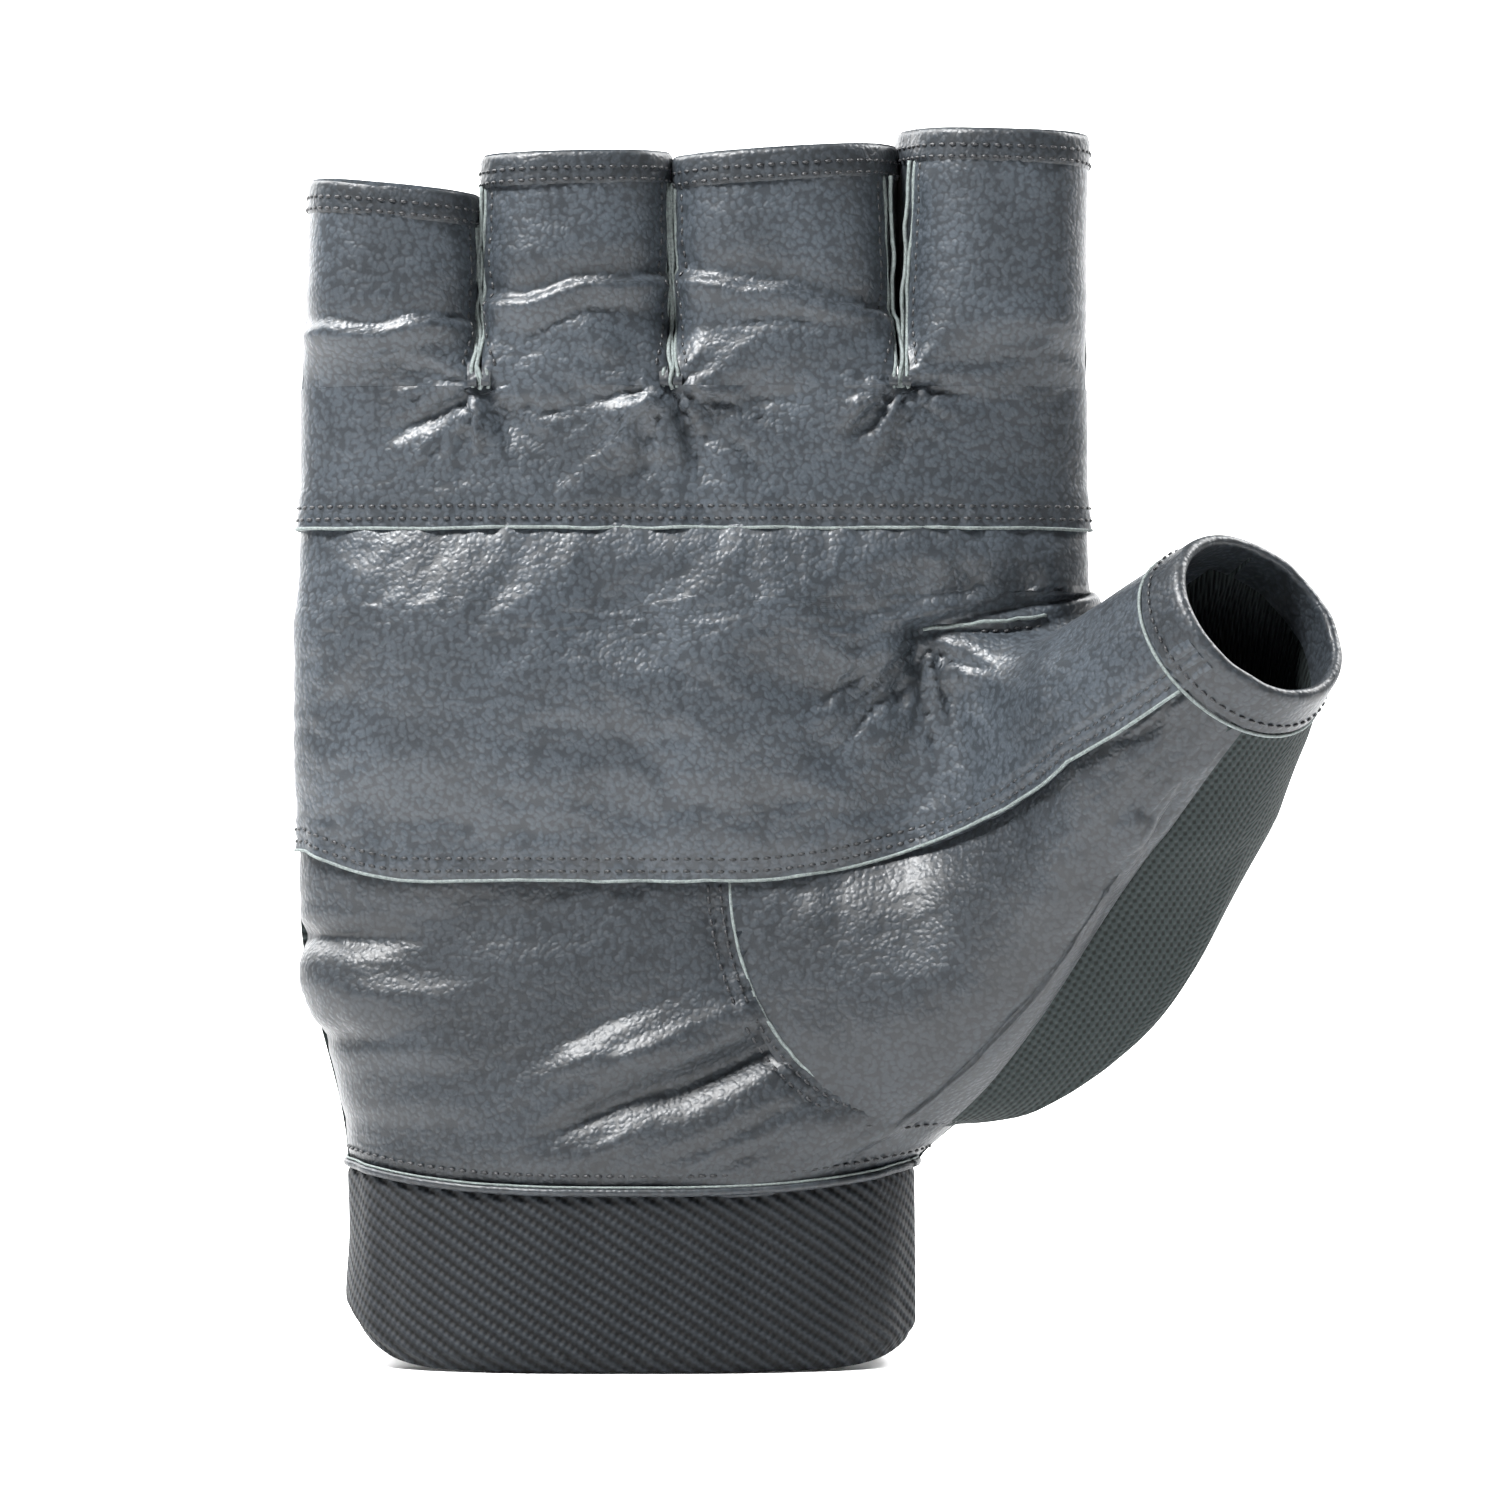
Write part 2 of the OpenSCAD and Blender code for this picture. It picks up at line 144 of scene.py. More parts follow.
def box_mm(node):
    """Lowest and highest corner of a frame node, in millimetres."""
    low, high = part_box(node)
    return np.array(low) / MM, np.array(high) / MM


UPPER_LOW, UPPER_HIGH = box_mm("upper_palm_panel")
CUFF_LOW, CUFF_HIGH = box_mm("cuff_band")
CROTCH_Z = UPPER_HIGH[2]
SEAM_HIGH = UPPER_LOW[2]
SEAM_LOW = box_mm("palm_pad_cover")[0][2]
PALM_LEFT, PALM_RIGHT, PALM_HALF_T = -UPPER_LOW[0], UPPER_HIGH[0], -UPPER_LOW[1]
CUFF_HALF_W, CUFF_HALF_T = CUFF_HIGH[0], -CUFF_LOW[1]
CUFF_H = box_mm("cuff_piping")[0][2] + 0.5
HEEL_RIGHT = CUFF_HALF_W + 9
WEB_Z = CROTCH_Z - 29
THENAR_LOW = CUFF_H + 9.5
THENAR_X = -PALM_LEFT + 0.546 * (PALM_LEFT + PALM_RIGHT)
SPLIT_X = -PALM_LEFT + 0.76 * (PALM_LEFT + PALM_RIGHT)
SPLIT_TOP = WEB_Z - 5.5
SEAM_RISE = 4
HEM_W = box_mm("ring_hem")[1][2] - box_mm("ring_hem")[0][2]
TOPS = [box_mm(name + "_front")[1][2] for name in FINGERS]
LANE_W = [25, 26, 31, 26]
LANE_X = np.concatenate([[-PALM_LEFT], -PALM_LEFT + np.cumsum(LANE_W)])
SLIT_LOW, SLIT_TOPS, BACK_SLITS = 0.6, (1.0, 1.0, 4.6), (0.35, 0.35, 0.35)
STALL_T = 25
CORNER = 0.78
# Distances of the two stitch rows from a seam.
STITCH_ROWS = (1.3, 3.0)
# Radius of a raw edge, and how thick the cloths and fillings are.
EDGE_R = 0.24
CUFF_T, TAB_T, PILE_T, LINING_T, FOAM_T, WEB_T, HEM_T = 1.7, 1.3, 0.8, 0.6, 1.1, 1.0, 0.3
# Points round a rim.
TURN_STEPS = 121

MOUNTS = {m["name"]: m for m in frame["record"]["mounts"]}
JOINTS = {j["name"]: j for j in frame["joints"]}
THUMB_MOUTH = np.array(MOUNTS["thumb_opening"]["pos_m"]) / MM
THUMB_DIR = unit(MOUNTS["thumb_opening"]["axis"])
THUMB_FOLD = unit(JOINTS["thumb_bend"]["axis"])
THUMB_IN = np.cross(THUMB_FOLD, THUMB_DIR)
THUMB_LEN = 26
THUMB_R, THUMB_ROOT_R = 13, 18
THUMB_ROOT = THUMB_MOUTH - THUMB_LEN * THUMB_DIR
WEB_TURN, KNIT_TURN, KNIT_X = -60, 100, 44.5
THUMB_RIM = THUMB_LEN - 1.6
# Rows of the knit that lie under the thumb ball's leather.
LAP_ROWS = 6

# Two planes that clear the palm and the thumb's mouth; nothing here bends the thumb between them.
BEND_WAY = unit(np.array([0.62, -0.78, 0]))
BEND_FROM, BEND_TO = 46, 66


# ---- The filled hand ----

def left(z):
    """Width left of the origin at height z."""
    return mix(CUFF_HALF_W, PALM_LEFT, ease((z - CUFF_H) / 36))


def right(z):
    """Width right of the origin at height z."""
    heel = mix(CUFF_HALF_W, HEEL_RIGHT, ease((z - CUFF_H) / 11))
    low = CUFF_H + 11
    return heel + (PALM_RIGHT - HEEL_RIGHT) * np.clip((z - low) / (WEB_Z - low), 0, 1)


def half_t(z):
    """Half the thickness at height z."""
    return mix(CUFF_HALF_T, PALM_HALF_T, ease((z - CUFF_H) / 60))


def power(z):
    """How square the section is at height z."""
    return mix(2.3, 3, ease(z / CROTCH_Z))


def rounded(centre, a, b, n, t, z):
    """A point of a rounded section: t is -1 at the left, 0 on the palm, 1 at the right and 2 behind."""
    t = np.asarray(t, float)
    s = np.sin(np.radians(90 * t))
    depth = b * np.maximum(0, 1 - np.abs(s) ** n) ** (1 / n)
    y = np.where(np.cos(np.radians(90 * t)) >= -1e-9, -depth, depth)
    return np.stack(np.broadcast_arrays(centre + a * s, y, z), -1)


def skin(t, z, out=0):
    """The hand's surface at turn t and height z, moved out."""
    z = np.asarray(z, float)
    a, mid = (left(z) + right(z)) / 2, (right(z) - left(z)) / 2
    return rounded(mid, a + out, half_t(z) + out, power(z), t, z)


def turn_at(x, z):
    """The turn on the palm side at x."""
    a, mid = (left(z) + right(z)) / 2, (right(z) - left(z)) / 2
    return np.degrees(np.arcsin(np.clip((x - mid) / a, -1, 1))) / 90


def on_palm(x, z, out=0):
    """The palm's surface at x and z."""
    return skin(turn_at(x, z), z, out)


def even_turns(t_a, t_b, count, z):
    """Turns that cut the section at height z into even lengths."""
    fine = np.linspace(t_a, t_b, 1500)
    run = run_along(skin(fine, z))
    return np.interp(np.linspace(0, run[-1], count), run, fine)


def thumb_ring(turn, along, out=0):
    """A point round the thumb, turn in degrees from the side that faces the palm."""
    radius = mix(THUMB_ROOT_R, THUMB_R, along / THUMB_LEN) + out
    turn = np.radians(np.asarray(turn, float))[..., None]
    round_it = np.cos(turn) * THUMB_IN + np.sin(turn) * THUMB_FOLD
    return THUMB_ROOT + np.asarray(along)[..., None] * THUMB_DIR + np.asarray(radius)[..., None] * round_it


def loft(base, lean, end, v):
    """A smooth sheet from base, leaving along lean, to end, arriving along the thumb."""
    v = np.asarray(v)[:, None]
    a, b = 2 * v**3 - 3 * v**2 + 1, v**3 - 2 * v**2 + v
    c, d = -2 * v**3 + 3 * v**2, v**3 - v**2
    return a * base + b * lean + c * end + d * THUMB_LEN * THUMB_DIR


def grid_normals(points):
    """Unit normals of a grid of points."""
    return unit(np.cross(np.gradient(points, axis=1), np.gradient(points, axis=0)))


def outward(points, inside):
    """Grid normals that point away from inside, a point or one for each grid point."""
    n = grid_normals(points)
    return n * np.sign(np.sum(n * (points - inside)))


def hand_axis(points):
    """The middle of the hand at each point's height."""
    z = points[..., 2]
    return np.stack([(right(z) - left(z)) / 2, 0 * z, z], -1)


def thumb_axis(points):
    """The nearest point of the thumb's axis to each point."""
    return THUMB_ROOT + ((points - THUMB_ROOT) @ THUMB_DIR)[..., None] * THUMB_DIR


# ---- Seam lines on the palm ----

def lower_seam(x):
    """Height of the pad's lower edge."""
    turn_up = SEAM_RISE * np.clip((x - THENAR_X) / (SPLIT_X - THENAR_X), 0, None) ** 2
    return SEAM_LOW + np.minimum(turn_up, SEAM_RISE) + SEAM_RISE * np.clip((-28 - x) / 16, 0, 1) ** 2


def split_line(z):
    """Where the pad turns up into the thumb."""
    rise = SPLIT_X + 3.5 * np.clip((z - SEAM_LOW) / (SPLIT_TOP - SEAM_LOW), 0, 1)
    return mix(rise, right(z), ease((z - SPLIT_TOP) / (WEB_Z - SPLIT_TOP)))


def thenar_side(x, z):
    """Above 0 on the thumb's side of the heel panel's curved edge, about in millimetres."""
    wide, tall = SPLIT_X - THENAR_X, SEAM_LOW - THENAR_LOW
    p, q = np.maximum(SPLIT_X - x, 0) / wide, np.maximum(SEAM_LOW - z, 0) / tall
    slope = 2 * np.hypot(p / wide, q / tall) + 1e-6
    return np.where(x < SPLIT_X, (1 - p * p - q * q) / slope, z - THENAR_LOW)


def cuff_line(s):
    """Height of the cuff's top seam at a share s of the half width."""
    return CUFF_H - 2.2 + 3.2 * np.abs(s) ** 3


def back_hole(z):
    """The thumb hole's edge on the back, as a turn."""
    share = np.clip((z - THENAR_LOW) / (WEB_Z - THENAR_LOW), 0, 1)
    return 1 + 0.42 * np.maximum(0, np.sin(np.pi * share)) ** 0.6


# ---- Relief of the leather ----

def gathers(x, z, centre, reach, seed):
    """Fine ridges that fan out from a point, over broader puffs, fading at about reach."""
    dx, dz = x - centre[0], centre[1] - z
    r = np.hypot(dx, dz) + 1e-6
    angle = np.arctan2(dx, dz)
    puffs = 1.1 * noise(angle * 2.8 + seed, r / 18, seed)
    ridges = 0.9 * creases(angle * 5.5 + seed, r / 16, seed + 1, 3)
    ridges += 0.45 * creases(angle * 10, r / 9, seed + 2, 3)
    window = ease(r / 2.5) * bell(np.maximum(r - 0.45 * reach, 0), 0.5 * reach)
    return window * (puffs - ridges + 0.4), r, angle


# How far the gathers run from each finger crotch, from the pinky's.
CROTCH_REACH = (13, 16, 10)


def crotch_gathers(x, z):
    """Gathers below each finger crotch, round a small sunken point."""
    total = np.zeros(np.broadcast(x, z).shape)
    for n, cx in enumerate(LANE_X[1:4]):
        fan, r, _ = gathers(x, z, (cx, CROTCH_Z), CROTCH_REACH[n], 11 + 7 * n)
        total += fan * mix(0.6, 1.65, ease((CROTCH_Z - z + 2) / 4)) - 1.5 * bell(r, 2.2)
    return total


# Height above the crotch, slope and depth of each finger's fold, from the pinky.
FINGER_FOLDS = ((8.2, 0.03, 0.8), (13.5, 0.13, 1.05), (13.2, -0.18, 1.0), (3.2, 0.02, 0.3))


def finger_folds(x, z):
    """A crisp step across each finger, where the leather below folds over the leather above."""
    total = np.zeros(np.broadcast(x, z).shape)
    for n, (rise, tilt, deep) in enumerate(FINGER_FOLDS):
        mid, wide = (LANE_X[n] + LANE_X[n + 1]) / 2, LANE_W[n] * 0.54
        window = ease((wide - np.abs(x - mid)) / 3.5)
        d = z - CROTCH_Z - rise - tilt * (x - mid) - 0.9 * noise(x / 7, 3.0 * n, 31)
        over = ease(-d / 0.9 + 0.5)
        step = 1.25 * over * bell(np.minimum(d, 0), 3.6) - 1.15 * (1 - over) * bell(np.maximum(d, 0), 3.4)
        lower = d + 4.3 - 0.12 * (x - mid)
        second = 0.7 * bell(lower, 0.55) * ease((x - mid + 9) / 5) * ease((mid + 9 - x) / 5)
        total += window * deep * (step - second)
    return total


def thumb_gathers(x, z):
    """Long gathers below the thumb crotch, its dart, and the hollow above it."""
    fan, r, angle = gathers(x, z, (SPLIT_X + 3, SPLIT_TOP), 19, 43)
    below = ease((1.75 - np.abs(angle + 0.1)) / 0.5)
    dart = ease((x - SPLIT_X - 1) / 3) * ease((SPLIT_X + 22 - x) / 4) * bell(z - SPLIT_TOP - 1.4, 0.8)
    hollow = np.exp(-((x - SPLIT_X - 15) / 8.5) ** 2 - ((z - WEB_Z - 2) / 3.6) ** 2)
    return 1.35 * below * fan - 1.3 * bell(r, 2.6) - 1.0 * dart - 2.3 * hollow


def heel_folds(x, z):
    """The slack valley that climbs across the heel, lesser folds beside it, and rolls at the outer edge."""
    along, across = 0.914 * x + 0.404 * z, 0.914 * z - 0.404 * x
    reach = ease((along + 2) / 12) * ease((50 - along) / 12)
    off = across - 32.6 - 0.8 * noise(along / 12, 0, 50)
    valley = -1.9 * bell(off, 2.2) + 0.7 * bell(off - 5.5, 3.5) + 0.4 * bell(off + 4.5, 1.6)
    small = 0.9 * noise(along / 22, across / 3.2, 51) + 0.35 * noise(along / 9, across / 1.7, 52)
    slack = ease((x + 20) / 18) * ease((54 - z) / 12)
    edge = ease((-24 - x) / 15)
    rolls = 1.9 * bell(z - 51.5, 4.5) - 1.5 * bell(z - 58.2, 1.6) - 0.9 * bell(z - 44.6, 1.5)
    crumple = 0.9 * noise(x / 26, z / 3.6, 53) * ease((-14 - x) / 16) * ease((66 - z) / 6)
    return reach * valley + slack * small + edge * rolls + crumple


def fine_creases(x, z):
    """The leather's small lines, which lie mostly across the hand."""
    broad = 0.34 * noise(x / 17, z / 6, 61)
    lines = 0.17 * creases(x / 7, z / 2.6, 62) + 0.11 * creases(x / 3.1, z / 1.7, 63)
    return broad - lines


def seam_pull(x, distance, seed):
    """Puckers that run off a seam, and the two grooves that its stitches pull."""
    puckers = 0.4 * noise(x / 2.1, distance / 9, seed) * bell(distance, 4.5)
    grooves = sum(0.42 * bell(distance - row, 0.4) for row in STITCH_ROWS)
    return puckers - grooves



# ---- Meshes ----

def link(name, bm, material):
    """A smooth-shaded object from a bmesh, which is freed. Its points remember their places at rest."""
    place = bm.verts.layers.float_vector.get("rest") or bm.verts.layers.float_vector.new("rest")
    for vert in bm.verts:
        vert[place] = vert.co / MM
    mesh = bpy.data.meshes.new(name)
    bm.to_mesh(mesh)
    bm.free()
    mesh.polygons.foreach_set("use_smooth", [True] * len(mesh.polygons))
    obj = bpy.data.objects.new(name, mesh)
    bpy.context.scene.collection.objects.link(obj)
    mesh.materials.append(material)
    return obj


def add_grid(bm, points, weave=None, keep=None):
    """A grid of faces through points. weave is each point's place in its cloth, keep which points stay."""
    rows, cols = points.shape[:2]
    cloth = bm.verts.layers.float_vector.get("weave") or bm.verts.layers.float_vector.new("weave")
    made = bmesh.ops.create_grid(bm, x_segments=cols - 1, y_segments=rows - 1, size=1)["verts"]
    flat = points.reshape(-1, 3) * MM
    woven = np.zeros((rows * cols, 2)) if weave is None else weave.reshape(-1, 2)
    for vert, place, threads in zip(made, flat, woven):
        vert.co = place
        vert[cloth] = (threads[0], threads[1], 0)
    if keep is not None:
        gone = [vert for vert, stays in zip(made, keep.ravel()) if not stays]
        bmesh.ops.delete(bm, geom=gone, context="VERTS")
    return made


def face_out(bm, inside):
    """Turns every face so that the sheet faces away from inside(point)."""
    bm.normal_update()
    facing = sum(f.normal.dot(f.calc_center_median() - inside(f.calc_center_median())) for f in bm.faces)
    if facing < 0:
        bmesh.ops.reverse_faces(bm, faces=bm.faces[:])


def hand_middle(point):
    """The middle of the hand level with a point, in metres."""
    z = point.z / MM
    return Vector(((right(z) - left(z)) / 2 * MM, 0, point.z))


def thumb_middle(point):
    """The nearest point of the thumb's axis, in metres."""
    start, way = Vector(THUMB_ROOT * MM), Vector(THUMB_DIR)
    return start + way * (point - start).dot(way)


def thicken(bm, thick):
    """Gives a sheet its second wall on the inside, and sharp rims, so that each side shades by itself."""
    bm.normal_update()
    rims = {edge for edge in bm.edges if edge.is_boundary}
    made = bmesh.ops.extrude_face_region(bm, geom=bm.faces[:], use_keep_orig=True)["geom"]
    inner = [part for part in made if isinstance(part, bmesh.types.BMVert)]
    shifts = [vert.normal * -thick * MM for vert in inner]
    for vert, shift in zip(inner, shifts):
        vert.co += shift
    within = set(inner)
    rims |= {edge for edge in bm.edges if set(edge.verts) <= within and any(
        len(set(face.verts) & within) < len(face.verts) for face in edge.link_faces)}
    for edge in rims:
        edge.smooth = False
    bmesh.ops.recalc_face_normals(bm, faces=bm.faces[:])


def sheet(name, grids, thick, material, inside=hand_middle):
    """A closed sheet from one or more grids that share edges. grids holds (points, weave, keep)."""
    bm = bmesh.new()
    for points, weave, keep in grids:
        add_grid(bm, points, weave, keep)
    if len(grids) > 1:
        bmesh.ops.remove_doubles(bm, verts=bm.verts[:], dist=0.02 * MM)
    bmesh.ops.dissolve_degenerate(bm, dist=0.002 * MM, edges=bm.edges[:])
    face_out(bm, inside)
    thicken(bm, thick)
    return link(name, bm, material)


def panel(name, points, thick, material, weave=None, keep=None, inside=hand_middle):
    """A closed sheet from one grid."""
    return sheet(name, [(points, weave, keep)], thick, material, inside)


def tube(bm, path, radius, sides=6):
    """A thin tube along path, a grid rolled up and welded."""
    along = unit(np.gradient(path, axis=0))
    side = unit(np.cross(along, np.where(np.abs(along[:, 1:2]) > 0.9, [1.0, 0, 0], [0, 1.0, 0])))
    up = np.cross(side, along)
    angle = np.linspace(0, 2 * np.pi, sides + 1)
    radius = np.broadcast_to(radius, (len(path),))[:, None, None]
    ring = np.cos(angle)[None, :, None] * side[:, None] + np.sin(angle)[None, :, None] * up[:, None]
    made = add_grid(bm, path[:, None] + radius * ring)
    bmesh.ops.remove_doubles(bm, verts=made, dist=0.01 * MM)


def finish_tubes(name, bm, material):
    """Caps the tubes in bm and makes them an object."""
    bmesh.ops.holes_fill(bm, edges=[e for e in bm.edges if e.is_boundary], sides=0)
    bmesh.ops.recalc_face_normals(bm, faces=bm.faces[:])
    return link(name, bm, material)


def walk(path, pitch):
    """Even steps along a path: each step's middle and its direction."""
    run = run_along(path)
    at = np.arange(pitch / 2, run[-1], pitch)
    middles = np.stack([np.interp(at, run, path[:, k]) for k in range(3)], -1)
    ahead = np.stack([np.interp(at + 0.3, run, path[:, k]) for k in range(3)], -1)
    return middles, unit(ahead - middles + 1e-9), at / run[-1]


def stitch_row(bm, path, normals, pitch=1.55, length=1.1, width=0.5):
    """A row of separate stitches lying along a path on a surface."""
    middles, ways, shares = walk(path, pitch)
    places = np.linspace(0, 1, len(normals))
    for middle, way, share in zip(middles, ways, shares):
        normal = unit(np.array([np.interp(share, places, normals[:, k]) for k in range(3)]))
        across = unit(np.cross(normal, way))
        normal = np.cross(way, across)
        frame_of = Matrix([[*(v * s * MM), 0] for v, s in zip((way, across, normal),
                          (length / 2, width / 2, width * 0.42))] + [[0, 0, 0, 1]]).transposed()
        frame_of.translation = Vector((middle + normal * 0.02) * MM)
        bmesh.ops.create_uvsphere(bm, u_segments=6, v_segments=4, radius=1, matrix=frame_of)


def run_lengths(points):
    """How far each point of a grid lies along its row and along its column, as places in its cloth."""
    runs = []
    for axis in (1, 0):
        step = np.linalg.norm(np.diff(points, axis=axis), axis=2)
        start = np.zeros_like(step[:, :1] if axis else step[:1])
        runs.append(np.cumsum(np.concatenate([start, step], axis=axis), axis=axis))
    return np.stack(runs, -1)


def run_down(points, distance, reverse=False):
    """The path and normals a distance in from a grid's first row, or from its last."""
    grid = points[::-1] if reverse else points
    normals = grid_normals(grid)
    steps = np.linalg.norm(np.diff(grid, axis=0), axis=2)
    run = np.concatenate([np.zeros((1, grid.shape[1])), np.cumsum(steps, axis=0)])
    path, out = [], []
    for col in range(grid.shape[1]):
        path.append([np.interp(distance, run[:, col], grid[:, col, k]) for k in range(3)])
        out.append([np.interp(distance, run[:, col], normals[:, col, k]) for k in range(3)])
    return np.array(path), unit(np.array(out))


def face_normals_out(path, normals, inside):
    """Normals turned away from inside, a function of metres."""
    middle = np.array([np.array(inside(Vector(p * MM))) / MM for p in path])
    return normals * np.sign(np.sum(normals * (path - middle), axis=1, keepdims=True) + 1e-9)


def swell(points, pinned, pressure, growth, cap):
    """Swells a sheet with a short cloth simulation and gives back its points, none moved past cap."""
    bm = bmesh.new()
    add_grid(bm, points)
    obj = link("swelling", bm, bpy.data.materials[0])
    group = obj.vertex_groups.new(name="pin")
    for index, weight in enumerate(pinned.ravel()):
        group.add([index], float(weight), "REPLACE")
    cloth = obj.modifiers.new("Cloth", "CLOTH")
    settings = cloth.settings
    settings.vertex_group_mass = "pin"
    settings.quality = 6
    settings.mass = 0.2
    settings.tension_stiffness = settings.compression_stiffness = 12
    settings.bending_stiffness = 0.6
    settings.use_pressure = True
    settings.uniform_pressure_force = pressure
    settings.shrink_min = -growth
    settings.effector_weights.gravity = 0
    cloth.point_cache.frame_start, cloth.point_cache.frame_end = 1, 20
    scene = bpy.context.scene
    for step in range(1, 21):
        scene.frame_set(step)
    done = obj.evaluated_get(bpy.context.evaluated_depsgraph_get()).data
    moved = np.zeros(len(done.vertices) * 3)
    done.vertices.foreach_get("co", moved)
    scene.frame_set(1)
    bpy.data.objects.remove(obj)
    shift = moved.reshape(points.shape) / MM - points
    size = np.linalg.norm(shift, axis=2, keepdims=True)
    return points + shift * np.minimum(1, cap / np.maximum(size, 1e-9))


# ---- Materials ----

def add(material, kind, settings=None, stops=(), **links):
    """Adds a node to a material, with its settings, its input values, its colour stops and its links."""
    tree = material.node_tree
    node = tree.nodes.new(kind)
    for key, value in (settings or {}).items():
        if key in node.inputs and not hasattr(node, key.lower().replace(" ", "_")):
            node.inputs[key].default_value = value
        elif hasattr(node, key):
            setattr(node, key, value)
        else:
            node.inputs[key].default_value = value
    for n, (place, colour) in enumerate(stops):
        band = node.color_ramp.elements
        element = band[n] if n < len(band) else band.new(place)
        element.position, element.color = place, (*colour, 1)
    for key, source in links.items():
        tree.links.new(source, node.inputs[key.replace("_", " ")])
    return node


def blank(name):
    """A material with an empty tree."""
    material = bpy.data.materials.new(name)
    material.use_nodes = True
    material.node_tree.nodes.clear()
    return material


def leather(name, colour, roughness, grain=0.78):
    """Drum-dyed cowhide with a printed pebble grain: soft broad shine, broken up by the pebbles."""
    m = blank(name)
    rest = add(m, "ShaderNodeAttribute", {"attribute_name": "rest"}).outputs["Vector"]
    # Bends the pattern, so that no row of pebbles runs straight.
    bent = add(m, "ShaderNodeTexNoise", {"Scale": 0.9, "Detail": 1.0}, Vector=rest)
    shifted = add(m, "ShaderNodeMix", {"data_type": "RGBA", "blend_type": "LINEAR_LIGHT", "Factor": 0.35},
                  A=rest, B=bent.outputs["Color"])
    # Round pebbles, with painted shade darkening the valleys between them and a faint painted highlight on
    # their tops.
    pebbles = add(m, "ShaderNodeTexVoronoi", {"feature": "SMOOTH_F1", "Scale": 1 / grain, "Smoothness": 0.4},
                  Vector=shifted.outputs["Result"])
    valley = add(m, "ShaderNodeValToRGB", stops=[(0.2, [c * 1.06 for c in colour]), (0.45, colour),
                 (0.66, [c * 0.55 for c in colour])], Fac=pebbles.outputs["Distance"])
    # Broad wear, so that no two hand widths are dyed alike.
    patches = add(m, "ShaderNodeTexNoise", {"Scale": 0.1, "Detail": 3.0}, Vector=rest)
    shade = add(m, "ShaderNodeValToRGB", stops=[(0.3, (0.66, 0.66, 0.66)), (0.7, (1.0, 1.0, 1.0))],
                Fac=patches.outputs["Fac"])
    tint = add(m, "ShaderNodeMix", {"data_type": "RGBA", "blend_type": "MULTIPLY", "Factor": 1.0},
               A=valley.outputs["Color"], B=shade.outputs["Color"])
    dome = add(m, "ShaderNodeMapRange", {"From Max": 0.65, "To Min": 1.0, "To Max": 0.0},
               Value=pebbles.outputs["Distance"])
    first = add(m, "ShaderNodeBump", {"Strength": 0.7, "Distance": 0.1 * MM}, Height=dome.outputs["Result"])
    # Pores break the shine up inside each pebble.
    pores = add(m, "ShaderNodeTexNoise", {"Scale": 2.4, "Detail": 4.0}, Vector=rest)
    both = add(m, "ShaderNodeBump", {"Strength": 0.4, "Distance": 0.05 * MM},
               Height=pores.outputs["Fac"], Normal=first.outputs["Normal"])
    rough = add(m, "ShaderNodeMapRange", {"To Min": roughness - 0.06, "To Max": roughness + 0.14},
                Value=pores.outputs["Fac"])
    hide = add(m, "ShaderNodeBsdfPrincipled",
               {"IOR": 1.5, "Specular IOR Level": 0.4, "Sheen Weight": 0.02, "Sheen Roughness": 0.4},
               Base_Color=tint.outputs["Result"], Roughness=rough.outputs["Result"],
               Normal=both.outputs["Normal"])
    add(m, "ShaderNodeOutputMaterial", Surface=hide.outputs["BSDF"])
    return m


def woven(name, colour, pitch, slope, depth, roughness, cross=0.3, deep=0.3):
    """Cloth with ribs at a slope across its weave, each rib broken into short floats of yarn."""
    m = blank(name)
    weave = add(m, "ShaderNodeAttribute", {"attribute_name": "weave"}).outputs["Vector"]
    turned = add(m, "ShaderNodeMapping", {"Rotation": (0, 0, math.radians(slope))}, Vector=weave)
    # A wave repeats every 2 pi / 20 of its input, so this scale gives one rib to a pitch.
    per_mm = 2 * math.pi / 20 / pitch
    ribs = add(m, "ShaderNodeTexWave", {"bands_direction": "Y", "Scale": per_mm, "Distortion": 0.5,
                                        "Detail": 1.0, "Detail Scale": 1.2}, Vector=turned.outputs["Vector"])
    # Floats cross the ribs: as many as the ribs make a square mesh, more make a twill.
    floats_per_mm = per_mm * (1 if cross > 0.5 else 1.6)
    floats = add(m, "ShaderNodeTexWave", {"bands_direction": "X", "Scale": floats_per_mm, "Distortion": 0.6},
                 Vector=turned.outputs["Vector"])
    total = 1 + cross
    height = add(m, "ShaderNodeMix", {"data_type": "FLOAT", "Factor": cross / total},
                 A=ribs.outputs["Fac"], B=floats.outputs["Fac"])
    # Painted shade darkens the yarn where it goes under and a painted highlight lightens it on top; deep sets
    # how dark the painted shade is.
    under, over = [c * deep for c in colour], [min(1, c * 2.0) for c in colour]
    stops = [(0.1 / total, under), (0.6 / total, colour), (1 / total, over)]
    tone = add(m, "ShaderNodeValToRGB", stops=stops, Fac=height.outputs["Result"])
    first = add(m, "ShaderNodeBump", {"Strength": 0.8, "Distance": depth * total * MM},
                Height=height.outputs["Result"])
    # Loose fibres blur the yarn's shine.
    fuzz = add(m, "ShaderNodeTexNoise", {"Scale": 2.2, "Detail": 3.0}, Vector=weave)
    both = add(m, "ShaderNodeBump", {"Strength": 0.3, "Distance": 0.1 * MM},
               Height=fuzz.outputs["Fac"], Normal=first.outputs["Normal"])
    yarn = add(m, "ShaderNodeBsdfPrincipled",
               {"Roughness": roughness, "IOR": 1.5, "Specular IOR Level": 0.2},
               Base_Color=tone.outputs["Color"], Normal=both.outputs["Normal"])
    add(m, "ShaderNodeOutputMaterial", Surface=yarn.outputs["BSDF"])
    return m


